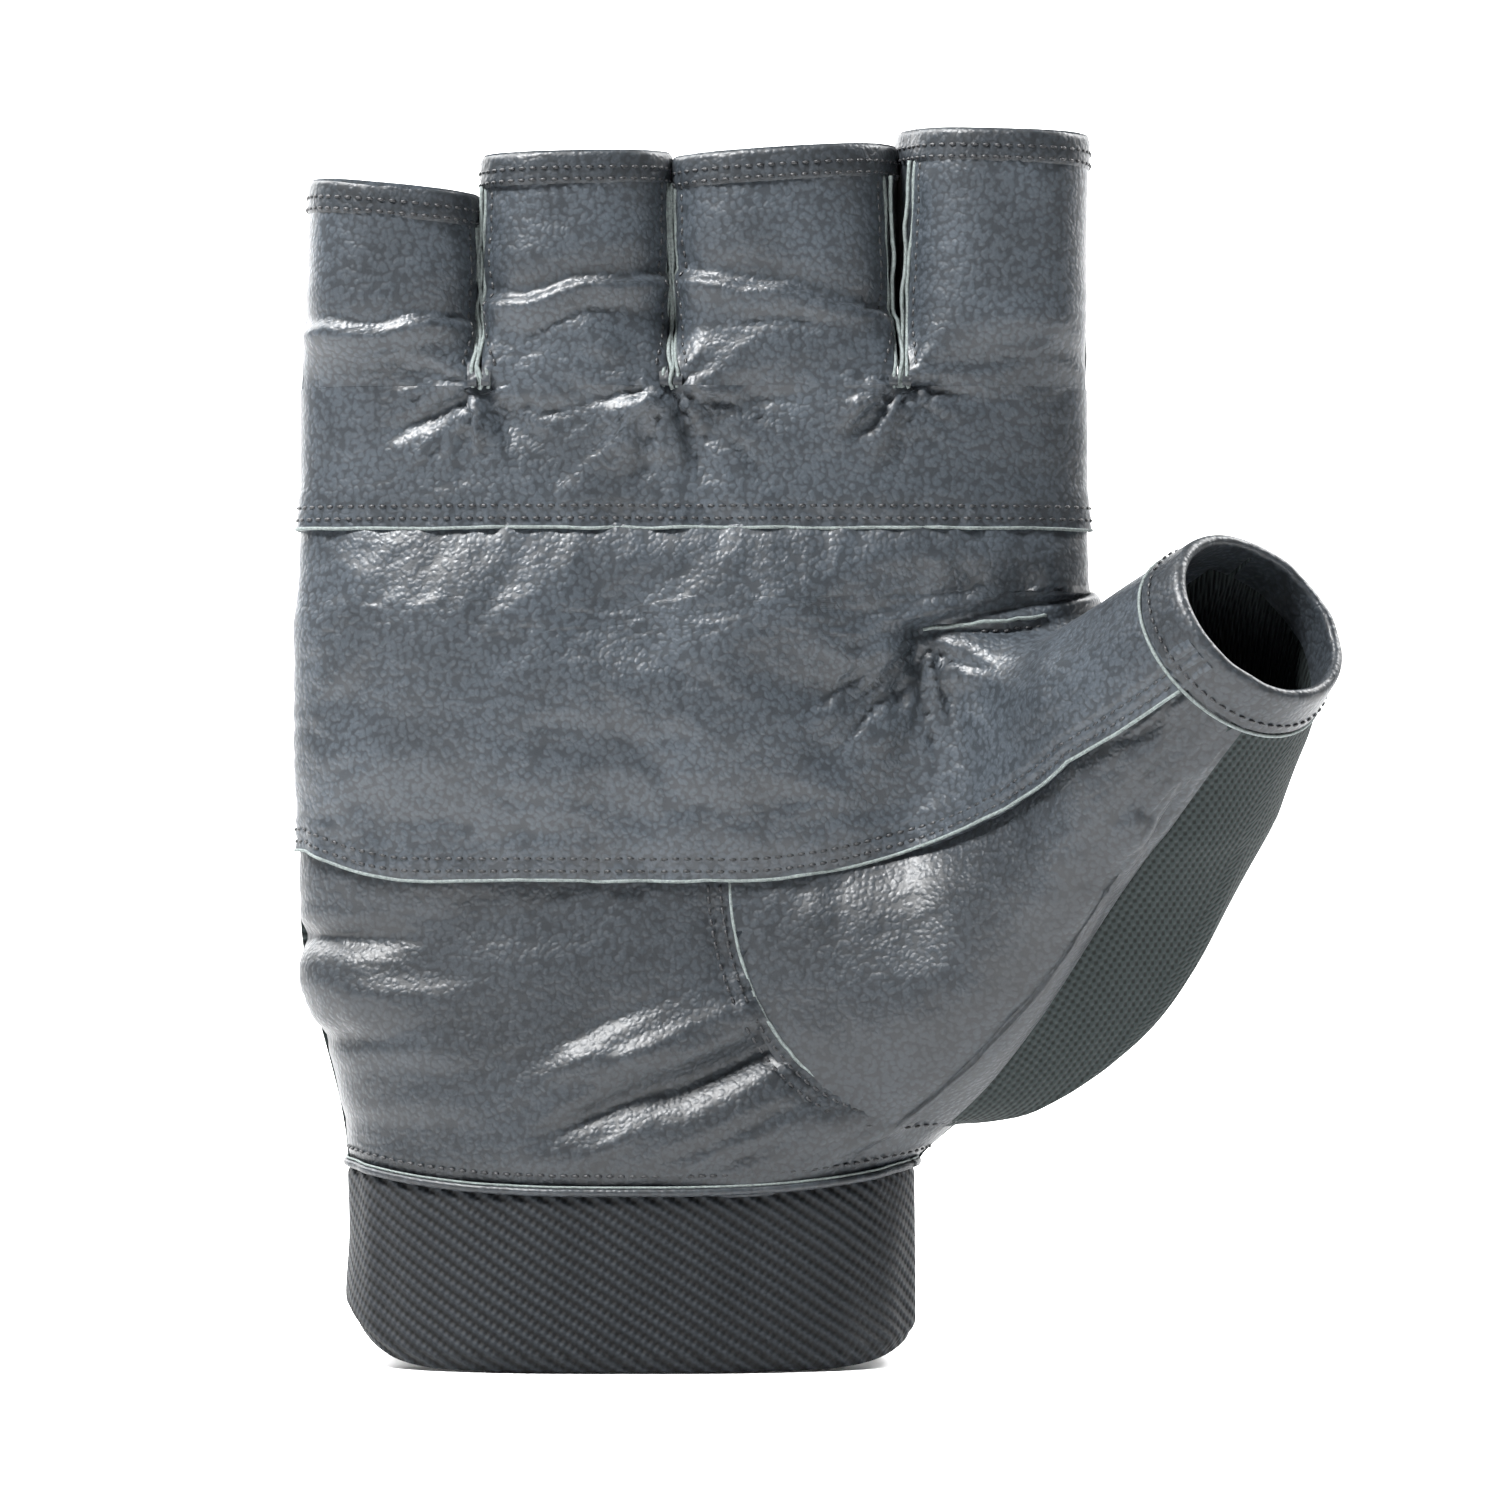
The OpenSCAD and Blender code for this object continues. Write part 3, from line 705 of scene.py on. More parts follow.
def plain(name, colour, roughness, scale, depth, sheen=0.0, spread=(0.6, 1.3)):
    """Thread, foam, pile or a cut edge: one colour over a fine uneven surface."""
    m = blank(name)
    rest = add(m, "ShaderNodeAttribute", {"attribute_name": "rest"}).outputs["Vector"]
    # One noise gives both the uneven tone and the uneven height.
    grit = add(m, "ShaderNodeTexNoise", {"Scale": scale, "Detail": 3.0}, Vector=rest)
    tone = add(m, "ShaderNodeValToRGB", stops=[(0.3, [c * spread[0] for c in colour]),
               (0.7, [min(1, c * spread[1]) for c in colour])], Fac=grit.outputs["Fac"])
    bump = add(m, "ShaderNodeBump", {"Strength": 0.6, "Distance": depth * MM}, Height=grit.outputs["Fac"])
    surface = add(m, "ShaderNodeBsdfPrincipled", {"Roughness": roughness, "Sheen Weight": sheen},
                  Base_Color=tone.outputs["Color"], Normal=bump.outputs["Normal"])
    add(m, "ShaderNodeOutputMaterial", Surface=surface.outputs["BSDF"])
    return m


def materials(props):
    """Every finish of the glove, made once."""
    made = {m.name: m for m in bpy.data.materials}
    if "pebbled_cowhide" in made:
        return made
    return {m.name: m for m in (
        leather("pebbled_cowhide", props.leather, 0.4),
        leather("dark_cowhide", props.dark_leather, 0.42),
        # The knit and the twill carry painted shade and a painted highlight on their yarn; deep sets how dark
        # the shade is.
        woven("stretch_mesh", props.knit, 1.1, 0, 0.18, 0.85, cross=0.9, deep=0.55),
        woven("elastic_twill", props.webbing, 1.6, 33, 0.55, 0.7, deep=0.12),
        plain("cut_leather_edge", props.cut_edge, 0.75, 2.5, 0.15),
        plain("bonded_nylon_thread", props.thread, 0.5, 5.0, 0.08),
        plain("open_cell_foam", props.foam, 0.9, 2.5, 0.5),
        plain("hook_and_loop_pile", props.pile, 0.95, 3.5, 0.5, 0.04),
    )}


def colour_property(name, what, code):
    """A colour that a user may change."""
    return FloatVectorProperty(name=name, description=what, subtype="COLOR", size=3, min=0, max=1,
                               default=to_linear(code))


class GloveFinishes(bpy.types.PropertyGroup):
    """Colours of the glove."""
    leather: colour_property("Leather", "Main palm leather", "#343a40")
    dark_leather: colour_property("Dark leather", "Heel, thumb ball, side strips and hems", "#272c31")
    knit: colour_property("Knit", "Stretch mesh of the back", "#161b1b")
    webbing: colour_property("Webbing", "Elastic of the cuff and its tab", "#131619")
    cut_edge: colour_property("Cut edge", "Raw edge of the leather", "#626a69")
    thread: colour_property("Thread", "Sewing thread", "#15171a")
    foam: colour_property("Foam", "Padding under the palm", "#b9b4a2")
    pile: colour_property("Pile", "Hook and loop patches", "#121414")


class GloveSizes(bpy.types.PropertyGroup):
    """Sizes of the glove's materials."""
    cell: FloatProperty(name="Cell", description="Spacing of the leather's points", unit="LENGTH",
                        default=0.00085, min=0.0005, max=0.003)
    leather_t: FloatProperty(name="Leather", description="Thickness of the leather", unit="LENGTH",
                             default=0.0012, min=0.0008, max=0.002)
    knit_t: FloatProperty(name="Knit", description="Thickness of the stretch mesh", unit="LENGTH",
                          default=0.001, min=0.0006, max=0.0015)
    puff: FloatProperty(name="Puff", description="How far the pad stands up", unit="LENGTH",
                        default=0.0034, min=0.0, max=0.006)


def settle(obj, body, slot, *nodes):
    """A piece that moves with one body and stands for frame nodes, which it hides."""
    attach(obj, body)
    if nodes:
        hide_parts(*nodes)
    return obj


def bend_finger(obj, index, slot, *nodes):
    """A piece of a finger, with its transform baked in; it hides the frame nodes it stands for."""
    if nodes:
        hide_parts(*nodes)
    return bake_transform(obj)


def bend_thumb(obj, slot, *nodes):
    """A piece that runs from the palm out along the thumb."""
    if nodes:
        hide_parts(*nodes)
    start, end = BEND_WAY * BEND_FROM * MM, BEND_WAY * BEND_TO * MM
    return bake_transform(obj, "palm", "thumb", start=tuple(start), end=tuple(end))


def steps(length, props):
    """How many points a length takes at the chosen cell."""
    return max(4, int(round(length / (props.cell / MM))))


# ---- Shapes of the panels ----

def upper_panel(props):
    """Points of the leather between the upper seam and the crotches. It laps over the pad."""
    turns = even_turns(-1, 1, steps(122, props), CROTCH_Z)
    z = np.linspace(SEAM_HIGH - 1.4, CROTCH_Z, steps(CROTCH_Z - SEAM_HIGH + 1.4, props))
    t, z = np.meshgrid(turns, z)
    points = skin(t, z)
    x = points[..., 0]
    lap = 0.9 * (1 - ease((z - SEAM_HIGH) / 7))
    height = crotch_gathers(x, z) + finger_folds(x, z) + fine_creases(x, z) + lap
    height += seam_pull(x, z - z.min(), 71)
    sides = ease((1 - np.abs(t)) / 0.1)
    return points + outward(points, hand_axis(points)) * (height * mix(0.25, 1, sides))[..., None]


def pad_rows(props):
    """Heights of the pad's rows as shares of the way up, closer where it turns into the thumb."""
    span = SEAM_HIGH - SEAM_LOW
    share = (SPLIT_TOP - SEAM_LOW) / span
    web = (WEB_Z - SEAM_LOW) / span
    below = np.linspace(0, share, steps(share * span, props), endpoint=False)
    across = np.linspace(share, web, 24, endpoint=False)
    above = np.linspace(web, 1, steps((1 - web) * span, props))
    return np.concatenate([below, across, above]), len(below) + len(across)


def pad_panel(props):
    """Points of the padded leather: the part that runs out to the thumb's mouth, and the part above."""
    shares, web_row = pad_rows(props)
    cols = steps(84, props)
    pad = []
    for share in shares:
        zn = mix(SEAM_LOW, SEAM_HIGH, share)
        edge = float(turn_at(split_line(zn), zn)) if zn < WEB_Z else 1.0
        turns = even_turns(-1, edge, cols, zn)
        x = skin(turns, SEAM_LOW)[:, 0]
        z = mix(lower_seam(np.minimum(x, SPLIT_X)) - 1.2, SEAM_HIGH + 1.0, share)
        pad.append(skin(turns, z))
    pad = np.array(pad)
    u = np.linspace(0, 1, cols)[None, :]
    v = shares[:, None]
    rise = (1 - np.abs(2 * u - 1) ** 5) * (1 - np.abs(2 * v - 1) ** 3.2)
    x, z = pad[..., 0], pad[..., 2]
    low_run, high_run = z - z[:1], z[-1:] - z
    height = 0.9 * (1 - ease(low_run / 8)) - 0.5 * (1 - ease(high_run / 5))
    height += props.puff / MM * rise + fine_creases(x, z)
    height += 0.5 * noise(x / 30, z / 5.5, 81) * rise + seam_pull(x, low_run, 72)
    height += 0.3 * noise(x / 2.4, high_run / 9, 73) * bell(high_run, 5)
    above_web = v > (WEB_Z - SEAM_LOW) / (SEAM_HIGH - SEAM_LOW)
    sides = ease(u / 0.05) * np.where(above_web, ease((1 - u) / 0.05), 1)
    pad = pad + outward(pad, hand_axis(pad)) * (height * mix(0.2, 1, sides))[..., None]
    if props.puff > 0:
        pins = 1 - ease((np.minimum(np.minimum(low_run, high_run), 60 * np.minimum(u, 1 - u)) - 2) / 5)
        pad = swell(pad, pins, 2.2, 0.012, 2.0)
    web = web_points(pad[:web_row + 1, -1], shares[:web_row + 1] / shares[web_row], props)
    lower = np.concatenate([pad[:web_row + 1], web[:, 1:]], axis=1)
    lower = smooth_columns(lower, cols - 1, 14)
    upper = pad[web_row:].copy()
    for grid in (lower, upper):
        x, z = grid[..., 0], grid[..., 2]
        free = ease((z - lower_seam(np.minimum(x, SPLIT_X)) - 1) / 5) * ease((SEAM_HIGH - z) / 3)
        free = free * ease((right(z) - 1 - x) / 9 + 1.2 * (z < SPLIT_TOP)) * (x < THUMB_MOUTH[0] - 18)
        grid += unit(np.array([0.25, -1.0, 0])) * (thumb_gathers(x, z) * free)[..., None]
    upper[0] = lower[web_row, :cols]
    return lower, upper


def web_points(base, share, props):
    """The sheet from the pad's inner edge out to the thumb's mouth, one row for each base point."""
    out_run = np.linspace(0, 1, steps(24, props))
    along = np.linspace(0, THUMB_RIM, steps(THUMB_LEN, props))[1:]
    rows = []
    for place, up in zip(base, share):
        k = math.sqrt(max(0, 1 - up))
        lean = mix(np.array([12, -3, 2.0]), np.array([22, -7, 6.0]), ease(k))
        turn = mix(WEB_TURN, 62, k)
        turns = mix(WEB_TURN, mix(62, 78, along / THUMB_LEN), k)
        inner = loft(place, lean, thumb_ring(turn, np.array(0.0)), out_run)
        rows.append(np.concatenate([inner, thumb_ring(turns, along)]))
    rows = np.array(rows)
    ramped = np.linspace(0, 1, rows.shape[1])[None, :]
    k = np.sqrt(np.maximum(0, 1 - share))[:, None]
    low_run = np.linalg.norm(rows - rows[:1], axis=2)
    height = 0.5 * creases(k * 7, ramped * 2.2, 83, 3) * ease(ramped / 0.12) * ease((0.8 - ramped) / 0.3)
    height = -height + 0.35 * noise(k * 9, ramped * 5, 84) * ease(ramped / 0.1)
    height += seam_pull(40 * ramped, low_run, 74) * ease(ramped / 0.05)
    height += 0.7 * (1 - ease(low_run / 8)) * ease(ramped / 0.1)
    height *= 1 - bell(k, 0.12)
    return rows + outward(rows, thumb_axis(rows)) * height[..., None]


def smooth_columns(points, at, reach, rounds=14):
    """Eases the fold where two sheets join at one column."""
    cols = np.arange(points.shape[1])
    below_top = ease((points.shape[0] - 1 - np.arange(points.shape[0])) / 14)[:, None, None]
    weight = (0.5 * ease(1 - np.abs(cols - at) / reach))[None, :, None] * below_top
    for _ in range(rounds):
        level = points.copy()
        level[:, 1:-1] = (points[:, :-2] + points[:, 2:]) / 2
        points = mix(points, level, weight)
    return points


def heel_points(props):
    """Points of the heel panel and which of them lie on its side of the curved edge."""
    low = CUFF_H - 2.6
    z_line = np.linspace(0, 1, steps(SEAM_LOW + 5 - low, props))
    turns = even_turns(-1, 1, steps(112, props), 50)
    t, share = np.meshgrid(turns, z_line)
    s = np.sin(np.radians(90 * t))
    z = mix(cuff_line(s) - 0.4, SEAM_LOW + 5.2, share)
    x = skin(t, z)[..., 0]
    side = thenar_side(x, z)
    near = np.abs(side) < 0.75 * props.cell / MM
    slope_x = thenar_side(x + 0.05, z) - thenar_side(x - 0.05, z)
    slope_z = thenar_side(x, z + 0.05) - thenar_side(x, z - 0.05)
    size = np.maximum(np.hypot(slope_x, slope_z), 1e-6)
    x = np.where(near, x - side * slope_x / size, x)
    z = np.where(near, z - side * slope_z / size, z)
    limit = (np.abs(s) < 0.985) | ~near
    points = np.where((near & limit)[..., None], on_palm(x, z), skin(t, z))
    height = heel_folds(x, z) * ease((z - cuff_line(s)) / 7) + fine_creases(x, z)
    height += seam_pull(z, np.abs(side), 75) * ease((SEAM_LOW - z) / 4) * ease((z - THENAR_LOW + 6) / 6)
    height *= ease((SEAM_LOW + 4 - z) / 5) * ease(-side / 3 + 0.35)
    height -= 0.7 * (1 - ease((z - cuff_line(s)) / 3.5))
    sides = ease((1 - np.abs(t)) / 0.1)
    points = points + outward(points, hand_axis(points)) * (height * mix(0.55, 1, sides))[..., None]
    keep = ((side < 0.02) | near) & (z < lower_seam(np.minimum(x, SPLIT_X)) + 1.6)
    return points, keep


def heel_edge(out, lift=0.0, count=160):
    """A line on the heel a distance out from its curved edge, with its normals."""
    angle = np.linspace(0.04, np.pi / 2, count)
    x = SPLIT_X - (SPLIT_X - THENAR_X + out) * np.cos(angle)
    z = SEAM_LOW - (SEAM_LOW - THENAR_LOW + out) * np.sin(angle)
    run_x = np.linspace(SPLIT_X, right(THENAR_LOW) - 1.2, 30)[1:]
    x = np.concatenate([x, run_x])
    z = np.concatenate([z, THENAR_LOW - out + 0.09 * (run_x - SPLIT_X)])
    path = on_palm(x, z, lift)
    return path, unit(path - np.stack([path[:, 0] * 0.55, 0 * z, z], -1))


def thumb_sheet(base, leans, turns_root, turns_tip, relief, props, reach=40):
    """A sheet from a base line on the hand to the thumb's mouth, one row for each base point."""
    out_run = np.linspace(0, 1, steps(reach, props))
    along = np.linspace(0, THUMB_RIM, steps(THUMB_LEN, props))[1:]
    rows = []
    for place, lean, a, b in zip(base, leans, turns_root, turns_tip):
        inner = loft(place, lean, thumb_ring(a, np.array(0.0)), out_run)
        rows.append(np.concatenate([inner, thumb_ring(mix(a, b, along / THUMB_LEN), along)]))
    rows = np.array(rows)
    k, v = np.linspace(0, 1, rows.shape[0])[:, None], np.linspace(0, 1, rows.shape[1])[None, :]
    return rows + outward(rows, thumb_axis(rows)) * relief(k, v)[..., None]


def patch(top, bottom, start, end):
    """A sheet inside four edges: start and end run from the top edge to the bottom edge."""
    u = np.linspace(0, 1, len(top))[:, None, None]
    v = np.linspace(0, 1, len(start))[None, :, None]
    start = start + (1 - v[0]) * (top[0] - start[0]) + v[0] * (bottom[0] - start[-1])
    end = end + (1 - v[0]) * (top[-1] - end[0]) + v[0] * (bottom[-1] - end[-1])
    across = mix(top[:, None], bottom[:, None], v)
    along = mix(start[None], end[None], u)
    corners = mix(mix(top[0], bottom[0], v), mix(top[-1], bottom[-1], v), u)
    return across + along - corners


def even_path(path, count):
    """A path cut again into even steps."""
    run = run_along(path)
    at = np.linspace(0, run[-1], count)
    return np.stack([np.interp(at, run, path[:, k]) for k in range(3)], -1)


def thenar_points(pad, knit_edge, props):
    """Points of the thumb ball's leather, tucked under the pad and the heel and lapped over the knit."""
    tuck_rows, below = 2, 1.25
    under = pad[tuck_rows] - outward(pad, hand_axis(pad))[tuck_rows] * below
    top = even_path(under[under[:, 0] > THENAR_X - 1.5], steps(88, props))
    bottom = even_path(knit_edge, len(top))
    count = steps(60, props)
    angle = np.linspace(0, np.pi / 2, count * 3 // 4)
    tuck = 1.6
    x = SPLIT_X - (SPLIT_X - THENAR_X + tuck) * np.cos(angle)
    z = SEAM_LOW + tuck * np.cos(angle) - (SEAM_LOW - THENAR_LOW + tuck) * np.sin(angle)
    run_x = np.linspace(SPLIT_X, KNIT_X, count - len(angle) + 1)[1:]
    x, z = np.concatenate([x, run_x]), np.concatenate([z, np.full_like(run_x, THENAR_LOW)])
    start = even_path(on_palm(x, z, -0.9), count)
    end = thumb_ring(np.linspace(78, KNIT_TURN, count), np.full(count, THUMB_RIM))
    points = patch(top, bottom, start, end)
    u, v = np.linspace(0, 1, len(top))[:, None], np.linspace(0, 1, count)[None, :]
    inner = np.minimum(np.minimum(u / 0.07, 1), np.minimum(np.minimum(v, 1 - v) / 0.07, 1))
    body = 3.8 * np.sin(np.pi * np.clip(u * 1.15, 0, 1)) * (1 - np.abs(2 * v - 1) ** 2.4)
    wave = 0.6 * noise(u * 12, v * 6, 91) + 0.25 * noise(u * 24, v * 13, 92)
    lines = 0.3 * creases(u * 13, v * 6, 93) + 0.2 * creases(u * 24, v * 12, 94)
    height = body + (wave - lines) * ease(inner) * mix(0.5, 1.5, bell(u - 0.7, 0.2))
    height += 0.5 * ease((v - 0.8) / 0.15)
    # Swells away from a line behind the palm, so that the ball stays one smooth lobe round to the knit.
    x, z = points[..., 0], points[..., 2]
    behind = np.stack([np.minimum(x, 30), np.full_like(x, 8), z], -1)
    return points + unit(points - behind) * height[..., None]


def gusset_points(props):
    """Points of the knit round the outside of the thumb, and the row where the ball's leather ends."""
    k = np.linspace(0, 1, steps(80, props))
    # The rows start on the palm, pass round its outer side and then climb the back.
    z = mix(THENAR_LOW - 3.0, WEB_Z, np.maximum(0, (k - 0.25) / 0.75))
    turn = mix(float(turn_at(KNIT_X, THENAR_LOW)), np.maximum(1.001, back_hole(z) + 0.01), ease(k / 0.25))
    base = skin(turn, z, -0.3)
    leans = mix(np.array([26, -16, 34.0]), np.array([86, -12, 0.0]), ease(k / 0.3)[:, None])
    leans = mix(leans, np.array([12, -3, 2.0]), ease((k - 0.35) / 0.65)[:, None])

    def relief(k, v):
        bulge = 0.9 * noise(k * 7, v * 5, 95) * ease(v / 0.1) * ease(np.minimum(k, 1 - k) / 0.08)
        return bulge + 4.0 * bell(k - 0.4, 0.25) * bell(v - 0.45, 0.28)

    turns = mix(KNIT_TURN, 360 + WEB_TURN, k)
    points = thumb_sheet(base, leans, turns, turns, relief, props)
    tuck = 0.5 * (1 - ease(k / 0.06))[:, None, None]
    return points - outward(points, thumb_axis(points)) * tuck, points[LAP_ROWS]


# ---- Fingers ----

def lane(index, k, slit_tops):
    """Left and right edges of a finger a share k of the way up, between slits that open to slit_tops."""
    lo = LANE_X[index] + (mix(SLIT_LOW, slit_tops[index - 1], k) / 2 if index else 0.4 + k)
    hi = LANE_X[index + 1] - (mix(SLIT_LOW, slit_tops[index], k) / 2 if index < 3 else 0.4 - 0.5 * k)
    return lo, hi


def finger_point(index, t, z, out=0):
    """A finger's surface. At the crotch it is the hand's own section, cut into lanes with upright walls."""
    t, z = np.broadcast_arrays(np.asarray(t, float), np.asarray(z, float))
    k = np.clip((z - CROTCH_Z) / (TOPS[index] - CROTCH_Z), 0, 1)
    deep = mix(PALM_HALF_T, STALL_T / 2, k) + out
    sections = []
    for slit_tops, square in ((SLIT_TOPS, 1), (BACK_SLITS, 0), (BACK_SLITS, 1)):
        lo, hi = lane(index, k, slit_tops)
        reach = square * 0.031 * (hi - lo)
        lo, hi = lo - reach * (index > 0), hi + reach * (index < 3)
        sections.append(rounded((lo + hi) / 2, (hi - lo) / 2 + out, deep, mix(3.2, 2.7, k), t, z))
    depth_share = sections[0][..., 1:2] / deep[..., None]
    stall = mix(sections[0], sections[1], ease((depth_share + 0.5) / 0.45))
    stall = mix(stall, sections[2], ease((depth_share - 0.05) / 0.45))
    lo, hi = lane(index, 0 * k, SLIT_TOPS)
    start = -1.0 if index == 0 else -CORNER
    stop = 1.0 if index == 3 else CORNER
    back_start = 1.0 if index == 3 else 2 - CORNER
    back_stop = 3.0 if index == 0 else 2 + CORNER
    span = lambda a, b: np.clip((t - a) / max(b - a, 1e-6), 0, 1)
    sine = lambda a: math.sin(math.radians(90 * a))
    s = np.sin(np.radians(90 * t))
    across = np.clip((s - sine(start)) / (sine(stop) - sine(start)), 0, 1)
    front = t <= stop
    wall = (t > stop) & (t < back_start)
    rear = (t >= back_start) & (t <= back_stop)
    x = np.where(front | rear, mix(lo, hi, across), np.where(wall, hi, lo))
    depth = -on_palm(x, np.full_like(x, CROTCH_Z), out)[..., 1]
    edge_lo = -on_palm(lo, np.full_like(x, CROTCH_Z), out)[..., 1]
    edge_hi = -on_palm(hi, np.full_like(x, CROTCH_Z), out)[..., 1]
    y = np.where(front, -depth, np.where(wall, mix(-edge_hi, edge_hi, span(stop, back_start)),
        np.where(rear, depth, mix(edge_lo, -edge_lo, span(back_stop, 4 - CORNER)))))
    return mix(np.stack([x, y, z], -1), stall, ease((z - CROTCH_Z) / 9)[..., None])


def finger_top(index, x):
    """Height of a finger's rim at x, a little higher on one side."""
    mid = (LANE_X[index] + LANE_X[index + 1]) / 2
    return TOPS[index] + (-0.09, 0.02, 0.06, -0.03)[index] * (x - mid)


def finger_grid(index, t_a, t_b, length, props, front=False, back=False):
    """Points of one panel of a finger, from the crotch to its rim."""
    fine = np.linspace(t_a, t_b, 800)
    level = finger_point(index, fine, np.full(800, CROTCH_Z + 14.0))
    run = run_along(level)
    turns = np.interp(np.linspace(0, run[-1], steps(length, props)), run, fine)
    share = np.linspace(0, 1, steps(TOPS[index] - CROTCH_Z, props))
    t, share = np.meshgrid(turns, share)
    mid = (LANE_X[index] + LANE_X[index + 1]) / 2
    x_guess = finger_point(index, t, np.full_like(t, CROTCH_Z + 10.0))[..., 0]
    z = mix(CROTCH_Z, finger_top(index, x_guess), share)
    points = finger_point(index, t, z)
    inside = np.stack([np.full_like(z, mid), 0 * z, z], -1)
    x = points[..., 0]
    if front:
        height = crotch_gathers(x, z) + finger_folds(x, z) + fine_creases(x, z)
        from_a = ease((t - t_a) / 0.12 if index else 1)
        from_b = ease((t_b - t) / 0.12 if index < 3 else 1)
        height = height * mix(1, mix(0.35, 1, np.minimum(from_a, from_b)), ease((z - CROTCH_Z) / 3))
        height *= mix(0.25, 1, ease((1 - np.abs(t)) / 0.1))
    elif back:
        height = 0.25 * noise(x / 6, z / 6, 97) * ease((z - CROTCH_Z) / 4)
    else:
        height = -(0.15 + 0.15 * noise(t * 5, z / 4, 98)) * ease((z - CROTCH_Z) / 4)
    return points + outward(points, inside) * height[..., None]


def hem_points(index):
    """A binding folded over a finger's rim: 4.5 mm down the outside, round the top and down the inside."""
    turns = np.linspace(-1, 3, TURN_STEPS)
    outer, roll = np.linspace(-4.6, -0.9, 7), np.linspace(0, math.pi, 8)
    profile = [(0.24 * ease((d + 4.6) / 0.6), d) for d in outer]
    profile += [(-0.62 + 0.86 * math.cos(a), -0.9 + 0.9 * math.sin(a)) for a in roll[1:]]
    profile += [(-1.6, d) for d in np.linspace(-1.6, -HEM_W, 5)]
    rows = []
    for out, down in profile:
        base = finger_point(index, turns, np.full_like(turns, TOPS[index] - 2.0))
        z = finger_top(index, base[:, 0]) + down
        wobble = 0.16 * noise(turns * 9, 0 * turns + index * 3, 101) * (out > 0)
        rows.append(finger_point(index, turns, z, 0.0 + out) + np.stack([0 * z, 0 * z, wobble], -1))
    points = np.array(rows)
    points[:, -1] = points[:, 0]
    return points


# ---- Cuff and closure ----

SLIT_HALF = 5
TAB_LOW, TAB_HIGH = box_mm("closure_tab")


def back_turn(x):
    """The turn on the back of the cuff at x."""
    return 2 - np.degrees(np.arcsin(np.clip(x / CUFF_HALF_W, -1, 1))) / 90


def cuff_points(props):
    """Outer points of the elastic band, open at the back, with its lower rim rolled in."""
    turns = even_turns(float(back_turn(-SLIT_HALF)) - 4, float(back_turn(SLIT_HALF)), steps(190, props), 12)
    s = np.sin(np.radians(90 * turns))
    corner = np.where(s < 0, 6.5, 3.5) * np.abs(s) ** 9
    share = np.linspace(0, 1, 34)
    t, v = np.meshgrid(turns, share)
    z = mix(corner[None, :], cuff_line(s)[None, :] + 0.3, v)
    roll = -1.1 * (1 - ease(v / 0.09)) - 0.5 * ease((v - 0.93) / 0.07)
    sway = 0.35 * noise(t * 3, z / 9, 111) + 0.25 * noise(t * 11, z / 14, 112)
    points = skin(t, z, 0)
    points = points + outward(points, hand_axis(points)) * (roll + sway * ease(v / 0.15))[..., None]
    length = run_along(points[len(share) // 2])
    weave = np.stack(np.broadcast_arrays(length[None, :], z), -1)
    return points, weave


def strip_on_cuff(x_a, x_b, z_a, z_b, out, count=44, rows=20, corner=0.0):
    """A patch on the back of the cuff, rounded at its far end."""
    x = np.linspace(x_a, x_b, count)
    v = np.linspace(0, 1, rows)[:, None]
    inner = np.clip(1 - np.abs(x - x_b) / corner, 0, 1) if corner else 0 * x
    trim = corner * (1 - np.sqrt(np.maximum(0, 1 - inner**2))) if corner else 0 * x
    z = mix((z_a + trim)[None, :], (z_b - trim)[None, :], v)
    t = np.broadcast_to(back_turn(x)[None, :], z.shape)
    lift = out(x)[None, :] if callable(out) else np.full_like(x, out)[None, :]
    points = skin(t, z, np.broadcast_to(lift, z.shape))
    return points, np.stack(np.broadcast_arrays(x[None, :], z), -1)


# ---- Operators ----

